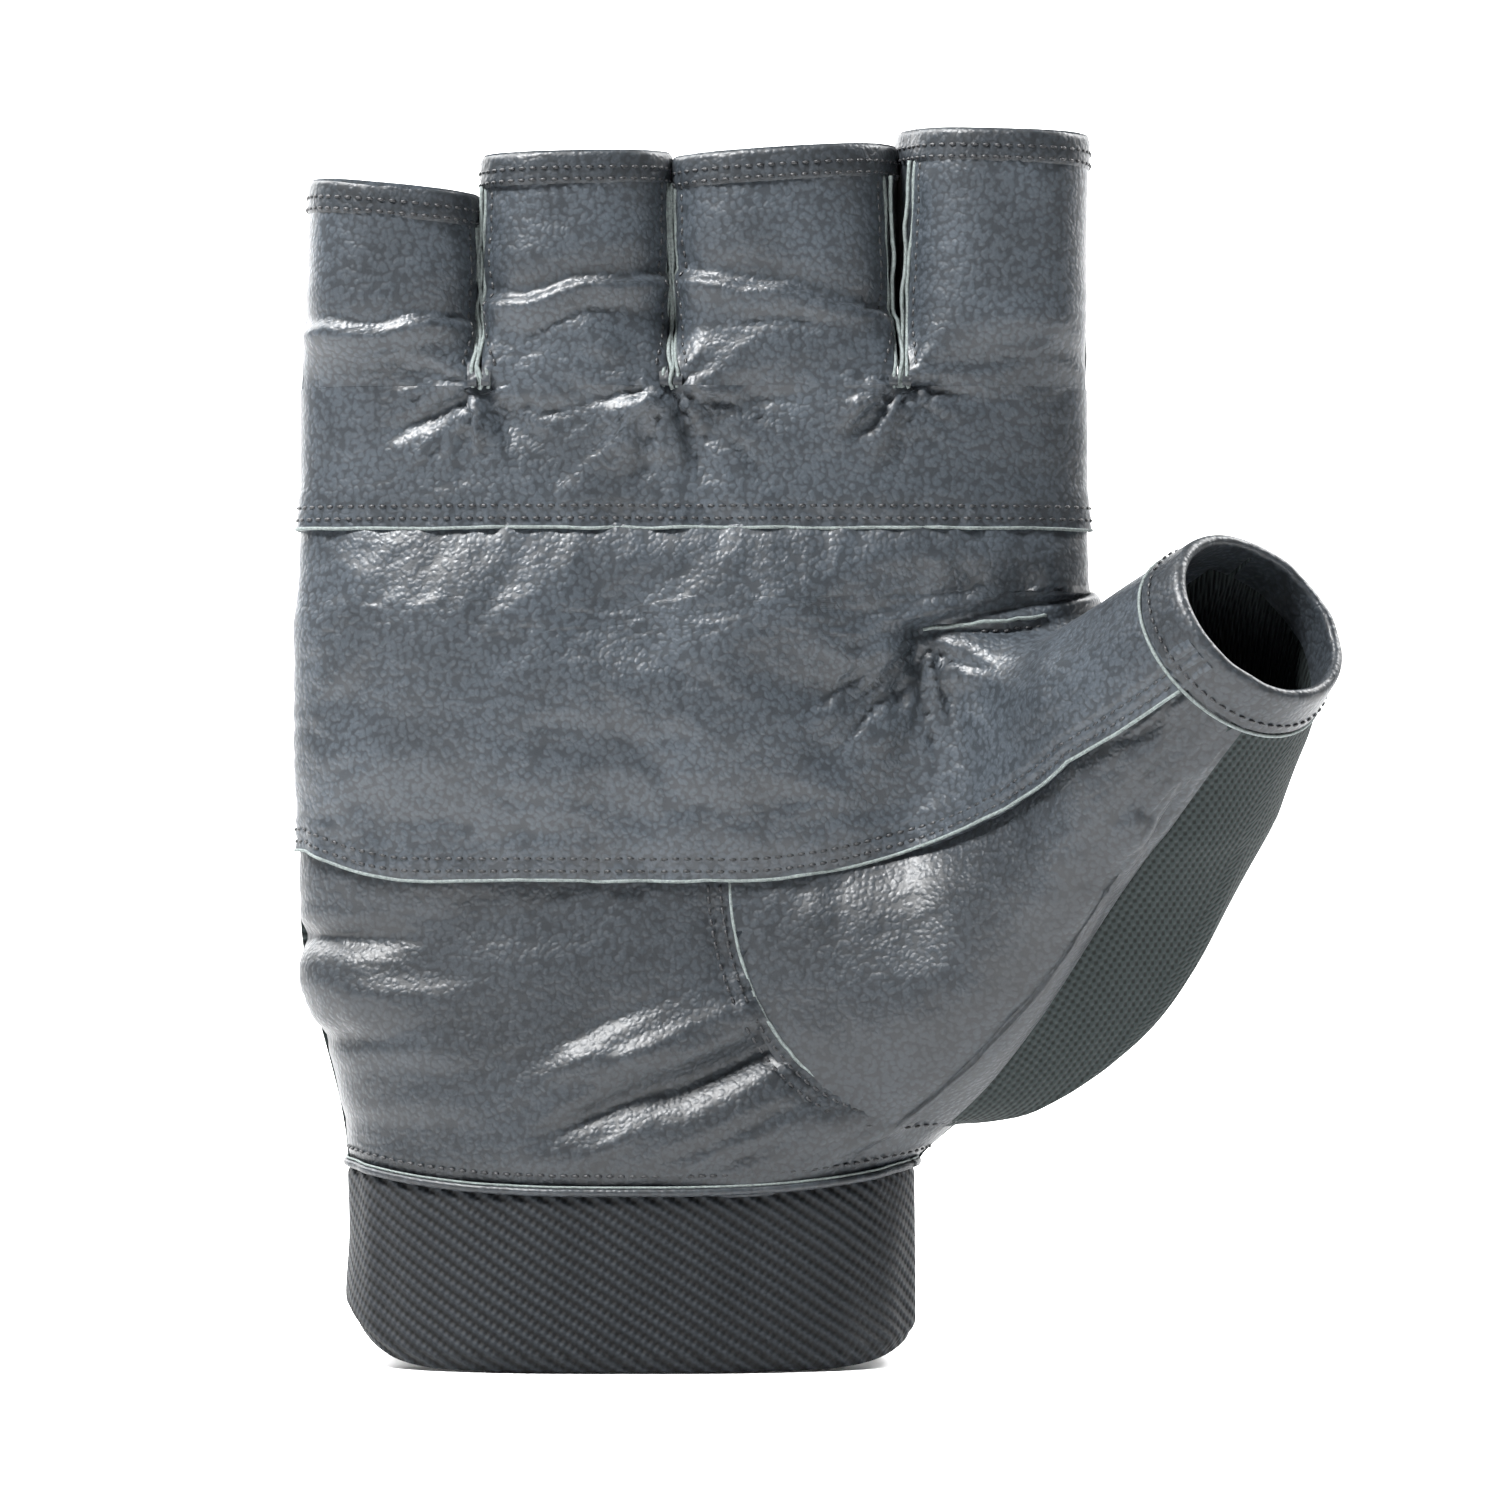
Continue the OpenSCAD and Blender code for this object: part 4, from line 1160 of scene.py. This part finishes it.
class GLOVE_OT_palm(bpy.types.Operator):
    """Makes the leather panels of the palm and the thumb"""
    bl_idname = "glove.palm"
    bl_label = "Palm leather"

    def execute(self, context):
        props, finish = context.scene.glove_sizes, materials(context.scene.glove_finishes)
        hide, dark, thick = finish["pebbled_cowhide"], finish["dark_cowhide"], props.leather_t / MM
        upper = upper_panel(props)
        settle(panel("upper_palm_leather", upper, thick, hide), "palm", "leather", "upper_palm_panel")
        low, high = pad_panel(props)
        pad = sheet("padded_palm_leather", [(low, None, None), (high, None, None)], thick, hide)
        bend_thumb(pad, "leather", "palm_pad_cover", "thumb_front")
        points, keep = heel_points(props)
        heel = panel("heel_leather", points, thick, dark, keep=keep)
        settle(heel, "palm", "dark_leather", "heel_panel")
        ball = thenar_points(low, gusset_points(props)[1], props)
        bend_thumb(panel("thumb_ball_leather", ball, thick, dark, inside=thumb_middle),
                   "dark_leather", "thenar_panel", "thumb_side")
        self.edges(upper, low, finish)
        self.dart(np.concatenate([low.reshape(-1, 3), high.reshape(-1, 3)]), finish)
        return {"FINISHED"}

    def dart(self, pad, finish):
        """The short raw-edged dart that takes up leather at the thumb crotch."""
        at = surface_ray(pad)
        x = np.linspace(SPLIT_X + 3, SPLIT_X + 20, 26)
        line = np.array([at(a, SPLIT_TOP + 1.2 + 0.11 * (a - SPLIT_X)) for a in x])
        line[1:-1] = (line[:-2] + 2 * line[1:-1] + line[2:]) / 4
        bm = bmesh.new()
        tube(bm, line + [0, -0.25, 0], 0.28)
        bend_thumb(finish_tubes("thumb_dart_edge", bm, finish["cut_leather_edge"]), "leather")
        bm = bmesh.new()
        stitch_row(bm, line + [0, -0.1, -1.3], np.tile([0, -1.0, 0], (len(line), 1)))
        bend_thumb(link("thumb_dart_stitches", bm, finish["bonded_nylon_thread"]), "thread")

    def edges(self, upper, low, finish):
        """Cut edges and stitches along the palm's seams."""
        before_hem = (low[0] - THUMB_MOUTH) @ THUMB_DIR < -HEM_W
        low = low[:, before_hem]
        rows = {"upper": [run_down(upper, d) for d in STITCH_ROWS],
                "lower": [run_down(low, d) for d in STITCH_ROWS],
                "thenar": [heel_edge(d, 0.05) for d in STITCH_ROWS]}
        lines = {"upper": run_down(upper, 0.0), "lower": run_down(low, 0.0), "thenar": heel_edge(0.0, -0.15)}
        for seam, (path, normals) in lines.items():
            normals = face_normals_out(path, normals, hand_middle)
            wander = 0.12 * noise(np.arange(len(path)) / 5, 0, 121)[:, None]
            bm = bmesh.new()
            tube(bm, path + normals * -0.05 + [0, 0, 1] * wander, EDGE_R)
            piece = finish_tubes(seam + "_cut_edge", bm, finish["cut_leather_edge"])
            bm = bmesh.new()
            for row_path, row_normals in rows[seam]:
                stitch_row(bm, row_path, face_normals_out(row_path, row_normals, hand_middle))
            thread = link(seam + "_stitches", bm, finish["bonded_nylon_thread"])
            if seam == "lower":
                bend_thumb(piece, "leather")
                bend_thumb(thread, "thread", "lower_seam_thread")
            else:
                settle(piece, "palm", "leather")
                settle(thread, "palm", "thread", seam + "_seam_thread")


def surface_ray(points):
    """A function that gives the palm side's nearest point of points to an x and z."""
    behind = 1e3 * (points[:, 1] > 0)
    return lambda x, z: points[np.argmin((points[:, 0] - x) ** 2 + (points[:, 2] - z) ** 2 + behind)]


class GLOVE_OT_thumb(bpy.types.Operator):
    """Makes the knit on the outside of the thumb and the thumb's hem"""
    bl_idname = "glove.thumb"
    bl_label = "Thumb knit and hem"

    def execute(self, context):
        props, finish = context.scene.glove_sizes, materials(context.scene.glove_finishes)
        points = gusset_points(props)[0]
        weave = run_lengths(points)
        knit = panel("thumb_knit", points, props.knit_t / MM, finish["stretch_mesh"], weave,
                     inside=thumb_middle)
        bend_thumb(knit, "knit", "thumb_gusset", "thumb_back")
        turns = np.linspace(0, 360, TURN_STEPS)
        roll = np.linspace(0, math.pi, 8)
        profile = [(0.35, d) for d in np.linspace(THUMB_LEN - HEM_W + 0.6, THUMB_LEN - 0.8, 6)]
        profile += [(-0.55 + 0.9 * math.cos(a), THUMB_LEN - 0.8 + 0.9 * math.sin(a)) for a in roll[1:]]
        profile += [(-1.5, d) for d in np.linspace(THUMB_LEN - 1.6, THUMB_LEN - HEM_W, 5)]
        hem = np.array([thumb_ring(turns, np.full_like(turns, d), out) for out, d in profile])
        wobble = 0.15 * noise(turns / 14, 0, 131) * (turns % 360 > 0)
        hem = hem + THUMB_DIR * wobble[None, :, None]
        bm = bmesh.new()
        add_grid(bm, hem)
        bmesh.ops.remove_doubles(bm, verts=bm.verts[:], dist=0.02 * MM)
        face_out(bm, thumb_middle)
        thicken(bm, HEM_T)
        bend_thumb(link("thumb_binding", bm, finish["dark_cowhide"]), "dark_leather", "thumb_hem")
        self.seams(finish)
        return {"FINISHED"}

    def seams(self, finish):
        """The cut edge and stitches round the thumb's hem."""
        turns = np.linspace(0, 360, TURN_STEPS)
        way = lambda out, along: thumb_ring(turns, np.full_like(turns, along), out)
        bm = bmesh.new()
        tube(bm, way(0.3, THUMB_LEN - HEM_W), EDGE_R)
        bend_thumb(finish_tubes("thumb_hem_cut_edge", bm, finish["cut_leather_edge"]), "leather")
        bm = bmesh.new()
        path = way(0.45, THUMB_LEN - HEM_W + 1.9)
        stitch_row(bm, path, unit(way(2, THUMB_LEN - HEM_W + 1.9) - path))
        bend_thumb(link("thumb_hem_stitches", bm, finish["bonded_nylon_thread"]), "thread")


class GLOVE_OT_fingers(bpy.types.Operator):
    """Makes the four finger stalls: leather fronts and side strips, knit backs and bound rims"""
    bl_idname = "glove.fingers"
    bl_label = "Finger stalls"

    def execute(self, context):
        props, finish = context.scene.glove_sizes, materials(context.scene.glove_finishes)
        hide, dark, thick = finish["pebbled_cowhide"], finish["dark_cowhide"], props.leather_t / MM
        for index, name in enumerate(FINGERS):
            inside = lambda p, x=(LANE_X[index] + LANE_X[index + 1]) / 2 * MM: Vector((x, 0, p.z))
            t_a, t_b = (-1 if index == 0 else -CORNER), (1 if index == 3 else CORNER)
            front = finger_grid(index, t_a, t_b, LANE_W[index], props, front=True)
            bend_finger(panel(name + "_leather", front, thick, hide, inside=inside), index, "leather",
                        name + "_front")
            b_a, b_b = (1 if index == 3 else 2 - CORNER), (3 if index == 0 else 2 + CORNER)
            back = finger_grid(index, b_a, b_b, LANE_W[index], props, back=True)
            weave = np.stack([back[..., 0], back[..., 2]], -1)
            knit = panel(name + "_knit", back, props.knit_t / MM, finish["stretch_mesh"], weave,
                         inside=inside)
            bend_finger(knit, index, "knit", name + "_back")
            walls = [(CORNER, 2 - CORNER)] * (index < 3) + [(2 + CORNER, 4 - CORNER)] * (index > 0)
            strip = name + ("_fourchettes" if len(walls) == 2 else "_fourchette")
            bm = bmesh.new()
            for a, b in walls:
                add_grid(bm, finger_grid(index, a, b, 22, props))
            self.face_out_parts(bm, inside)
            thicken(bm, thick)
            bend_finger(link(name + "_side_leather", bm, dark), index, "dark_leather", strip)
            bm = bmesh.new()
            add_grid(bm, hem_points(index))
            bmesh.ops.remove_doubles(bm, verts=bm.verts[:], dist=0.02 * MM)
            face_out(bm, inside)
            thicken(bm, HEM_T)
            bend_finger(link(name + "_binding", bm, dark), index, "dark_leather", name + "_hem")
            self.seams(index, name, front, finish, inside)
        return {"FINISHED"}

    def face_out_parts(self, bm, inside):
        """Turns each face away from the finger's middle."""
        bm.normal_update()
        middles = {face: face.calc_center_median() for face in bm.faces}
        wrong = [face for face, place in middles.items() if face.normal.dot(place - inside(place)) < 0]
        bmesh.ops.reverse_faces(bm, faces=wrong)

    def seams(self, index, name, front, finish, inside):
        """Cut edges that stand up along the slits, and stitches beside them and round the rim."""
        across = np.swapaxes(front, 0, 1)
        edges = ([(1, across)] if index > 0 else []) + ([(-1, across[::-1])] if index < 3 else [])
        tubes, thread = bmesh.new(), bmesh.new()
        for side, grid in edges:
            path, normals = run_down(grid, 0.0)
            normals = face_normals_out(path, normals, inside)
            top = len(path) - 5
            for ply, inset in enumerate((-0.15, 0.62)):
                lift = 0.45 + 0.3 * noise(np.arange(len(path)) / 5, index + 2.0 * ply, 141)
                sway = side * (inset + 0.2 * noise(np.arange(len(path)) / 4, index + 2.0 * ply, 142))
                tube(tubes, (path + normals * lift[:, None] + [1, 0, 0] * sway[:, None])[:top], 0.29)
            row, row_normals = run_down(grid, 2.0)
            stitch_row(thread, row[3:top], face_normals_out(row, row_normals, inside)[3:top])
        turns = np.linspace(-1, 3, TURN_STEPS)
        for down in (4.0, 2.4):
            base = finger_point(index, turns, np.full_like(turns, TOPS[index] - 4.0), 0.27)
            rim = np.stack([base[:, 0], base[:, 1], finger_top(index, base[:, 0]) - down], -1)
            rim = finger_point(index, turns, rim[:, 2], 0.27)
            lane_mid = (LANE_X[index] + LANE_X[index + 1]) / 2
            middle = np.stack([np.full_like(turns, lane_mid), 0 * turns, rim[:, 2]], -1)
            stitch_row(thread, rim, unit(rim - middle))
        bend_finger(finish_tubes(name + "_cut_edges", tubes, finish["cut_leather_edge"]), index, "leather")
        bend_finger(link(name + "_stitches", thread, finish["bonded_nylon_thread"]), index, "thread")


class GLOVE_OT_back(bpy.types.Operator):
    """Makes the knit back of the hand and the bound slit"""
    bl_idname = "glove.back"
    bl_label = "Knit back"

    def execute(self, context):
        props, finish = context.scene.glove_sizes, materials(context.scene.glove_finishes)
        share = np.linspace(0, 1, steps(CROTCH_Z - CUFF_H, props))
        slit_h = box_mm("slit_binding")[1][2] - CUFF_H - 2
        u = np.linspace(0, 1, steps(118, props))
        u, v = np.meshgrid(u, share)
        zn = mix(CUFF_H, CROTCH_Z, v)
        t = mix(np.maximum(1.0, back_hole(zn)), 3.0, u)
        z = mix(cuff_line(np.sin(np.radians(90 * t))) - 0.2, CROTCH_Z, v)
        points = skin(t, z)
        x, wide = points[..., 0], SLIT_HALF + 1.2
        keep = np.hypot(x / wide, (z - CUFF_H - 0.5) / (slit_h + 1.2)) > 0.93
        relief = 0.5 * noise(x / 16, z / 12, 151) * ease((z - CUFF_H) / 8) * ease((CROTCH_Z - z) / 4)
        sides = ease((1 - np.abs(t - 2)) / 0.1)
        points = points + outward(points, hand_axis(points)) * (relief * sides)[..., None]
        weave = np.stack([points[..., 0], points[..., 2]], -1)
        settle(panel("knit_back", points, props.knit_t / MM, finish["stretch_mesh"], weave, keep),
               "palm", "knit", "back_panel")
        angle = np.linspace(0, math.pi, 60)
        path = on_palm(-wide * np.cos(angle), CUFF_H + 0.5 + (slit_h + 1.2) * np.sin(angle), 0.4)
        path[:, 1] *= -1
        bm = bmesh.new()
        tube(bm, path, 1.15, sides=10)
        bound = finish_tubes("slit_bound_edge", bm, finish["dark_cowhide"])
        settle(bound, "palm", "dark_leather", "slit_binding")
        return {"FINISHED"}


class GLOVE_OT_cuff(bpy.types.Operator):
    """Makes the elastic cuff, its piping and the closure"""
    bl_idname = "glove.cuff"
    bl_label = "Cuff and closure"

    def execute(self, context):
        props, finish = context.scene.glove_sizes, materials(context.scene.glove_finishes)
        points, weave = cuff_points(props)
        band = panel("elastic_cuff", points, CUFF_T, finish["elastic_twill"], weave)
        settle(band, "palm", "webbing", "cuff_band")
        path = points[-1] + outward(points, hand_axis(points))[-1] * 0.55
        bm = bmesh.new()
        tube(bm, path, 0.55, sides=8)
        settle(finish_tubes("cuff_welt", bm, finish["dark_cowhide"]), "palm", "dark_leather", "cuff_piping")
        bm = bmesh.new()
        tube(bm, path + [0, 0, 0.7], 0.17)
        settle(finish_tubes("cuff_cut_edge", bm, finish["cut_leather_edge"]), "palm", "leather")
        turns = np.linspace(-0.96, 0.96, 200)
        s = np.sin(np.radians(90 * turns))
        row = skin(turns, cuff_line(s) + 2.6, -0.1)
        bm = bmesh.new()
        stitch_row(bm, row, unit(row - hand_axis(row)))
        settle(link("cuff_stitches", bm, finish["bonded_nylon_thread"]), "palm", "thread", "cuff_seam_thread")
        self.closure(finish)
        return {"FINISHED"}

    def closure(self, finish):
        """The tab, with a line of stitches inside its edge, and the two pile patches."""
        root, tip = 18.0, -26.0
        over = lambda x: mix(0.9, 2.8, ease((root - 2 - x) / 10))
        points, weave = strip_on_cuff(root, tip, TAB_LOW[2], TAB_HIGH[2], lambda x: over(x) + 0.9, corner=7)
        strap = panel("closure_strap", points, TAB_T, finish["elastic_twill"], weave)
        settle(strap, "tab", "webbing", "closure_tab")
        loop, weave = strip_on_cuff(-SLIT_HALF - 0.4, tip + 1, TAB_LOW[2] + 1, TAB_HIGH[2] - 1, 0.95)
        pile = finish["hook_and_loop_pile"]
        settle(panel("loop_pile", loop, PILE_T, pile, weave), "palm", "pile", "loop_patch")
        hook, weave = strip_on_cuff(-SLIT_HALF - 1, tip + 3, TAB_LOW[2] + 1.5, TAB_HIGH[2] - 1.5, 2.1)
        settle(panel("hook_pile", hook, PILE_T, pile, weave), "tab", "pile", "hook_patch")
        bm = bmesh.new()
        for flip in (False, True):
            row, normals = run_down(points, 1.4, reverse=flip)
            stitch_row(bm, row, face_normals_out(row, normals, hand_middle))
        settle(link("strap_stitches", bm, finish["bonded_nylon_thread"]), "tab", "thread")


class GLOVE_OT_inside(bpy.types.Operator):
    """Makes the foam, the lining and the webs at the crotches"""
    bl_idname = "glove.inside"
    bl_label = "Foam, lining and webs"

    def execute(self, context):
        finish = materials(context.scene.glove_finishes)
        z = np.linspace(SEAM_LOW + 5, SEAM_HIGH - 5, 44)
        t, z = np.meshgrid(np.linspace(-0.85, 0.26, 90), z)
        u, v = (t + 0.85) / 1.11, (z - z.min()) / (z.max() - z.min())
        points = skin(t, z, -1.4 + 1.5 * (1 - np.abs(2 * u - 1) ** 4) * (1 - np.abs(2 * v - 1) ** 4))
        foam = panel("palm_foam_pad", points, FOAM_T, finish["open_cell_foam"])
        settle(foam, "palm", "foam", "palm_foam")
        z = np.linspace(SEAM_LOW + 1, CROTCH_Z - 5, 60)
        t, z = np.meshgrid(np.linspace(-0.94, 0.5, 90), z)
        points = skin(t, z, -3.0)
        weave = np.stack([points[..., 0], points[..., 2]], -1)
        lining = panel("palm_lining_cloth", points, LINING_T, finish["stretch_mesh"], weave)
        settle(lining, "palm", "knit", "palm_lining")
        for name in ("pinky_ring_web", "ring_middle_web", "middle_index_web"):
            low, high = box_mm(name)
            y = np.linspace(low[1], high[1], 30)
            x = np.linspace(low[0], high[0], 8)
            x, y = np.meshgrid(x, y)
            reach = high[1]
            z = CROTCH_Z - 0.2 - 2.5 * (1 - (y / reach) ** 2) + 0.5 * (x - x.mean()) ** 2 / 2.25
            web = panel(name + "_leather", np.stack([x, y, z], -1), WEB_T, finish["dark_cowhide"],
                        inside=lambda p: Vector((p.x, p.y, p.z - 0.01)))
            settle(web, "palm", "dark_leather", name)
        return {"FINISHED"}


class GLOVE_OT_stage(bpy.types.Operator):
    """Sets the pale floor, the soft lights and the camera"""
    bl_idname = "glove.stage"
    bl_label = "Stage"

    def execute(self, context):
        scene = context.scene
        self.backdrop(CAD_BOUNDS[0][2])
        target = Vector((0.0162, 0, 0.0837))
        data = bpy.data.cameras.new("camera")
        data.lens, data.sensor_width = 160, 36
        camera = bpy.data.objects.new("camera", data)
        distance = 0.2025 * data.lens / data.sensor_width + 0.015
        camera.location = target + Vector((0, -distance, 0))
        camera.rotation_euler = (math.radians(90), 0, 0)
        scene.collection.objects.link(camera)
        scene.camera = camera
        for name, place, aim, size, energy in (
            ("key", (-0.36, -0.30, 0.85), target, 0.22, 29.0),
            ("fill", (0.75, -0.75, 0.15), target, 0.60, 1.2),
            ("back_left", (-0.6, 0.7, 0.5), target, 0.60, 5.0),
            ("back_right", (0.7, 0.6, 0.6), target, 0.60, 5.0),
            ("wall_left", (-1.2, 0.8, 1.4), Vector((-0.3, 2.0, 0.2)), 0.8, 95.0),
            ("wall_right", (1.2, 0.8, 1.4), Vector((0.3, 2.0, 0.2)), 0.8, 95.0),
        ):
            light = bpy.data.lights.new(name, "AREA")
            light.energy, light.size = energy, size
            lamp = bpy.data.objects.new(name, light)
            lamp.location = place
            lamp.rotation_euler = (aim - Vector(place)).to_track_quat("-Z", "Y").to_euler()
            lamp.visible_camera = False
            scene.collection.objects.link(lamp)
        world = bpy.data.worlds.new("studio")
        world.use_nodes = True
        world.node_tree.nodes["Background"].inputs["Color"].default_value = (1, 1, 1, 1)
        world.node_tree.nodes["Background"].inputs["Strength"].default_value = 0.13
        scene.world = world
        scene.view_settings.view_transform = "Standard"
        return {"FINISHED"}

    def backdrop(self, floor_z):
        """A pale paper sweep: a floor that curves up into a wall behind."""
        bm = bmesh.new()
        bmesh.ops.create_grid(bm, x_segments=2, y_segments=60, size=1)
        half_wide, front, wall_at, bend = 4, 3.0, 1.5, 0.7
        for vert in bm.verts:
            run = (vert.co.y + 1) * front - front
            turn = min(max(run - wall_at, 0) / bend, math.pi / 2)
            climb = max(run - wall_at - bend * math.pi / 2, 0)
            y = min(run, wall_at) + bend * math.sin(turn)
            vert.co = (vert.co.x * half_wide, y, floor_z - 0.0002 + bend * (1 - math.cos(turn)) + climb)
        paper = plain("pale_paper", (0.9, 0.9, 0.9), 0.9, 0.02, 0.01, spread=(0.97, 1.03))
        link("floor", bm, paper)


class GLOVE_PT_panel(bpy.types.Panel):
    """The glove's pieces, in the sidebar"""
    bl_label = "Glove"
    bl_idname = "GLOVE_PT_panel"
    bl_space_type = "VIEW_3D"
    bl_region_type = "UI"
    bl_category = "Glove"

    def draw(self, context):
        for group in (context.scene.glove_sizes, context.scene.glove_finishes):
            for name in group.__annotations__:
                self.layout.prop(group, name)
        for operator in OPERATORS:
            self.layout.operator(operator.bl_idname)


OPERATORS = (GLOVE_OT_palm, GLOVE_OT_thumb, GLOVE_OT_fingers, GLOVE_OT_back, GLOVE_OT_cuff, GLOVE_OT_inside,
             GLOVE_OT_stage)
CLASSES = (GloveFinishes, GloveSizes, *OPERATORS, GLOVE_PT_panel)


def register():
    for cls in CLASSES:
        bpy.utils.register_class(cls)
    bpy.types.Scene.glove_finishes = PointerProperty(type=GloveFinishes)
    bpy.types.Scene.glove_sizes = PointerProperty(type=GloveSizes)


def unregister():
    del bpy.types.Scene.glove_sizes
    del bpy.types.Scene.glove_finishes
    for cls in reversed(CLASSES):
        bpy.utils.unregister_class(cls)


def main():
    """Builds the whole glove."""
    register()
    for step in ("palm", "thumb", "fingers", "back", "cuff", "inside", "stage"):
        getattr(bpy.ops.glove, step)()


if __name__ == "__main__":
    main()
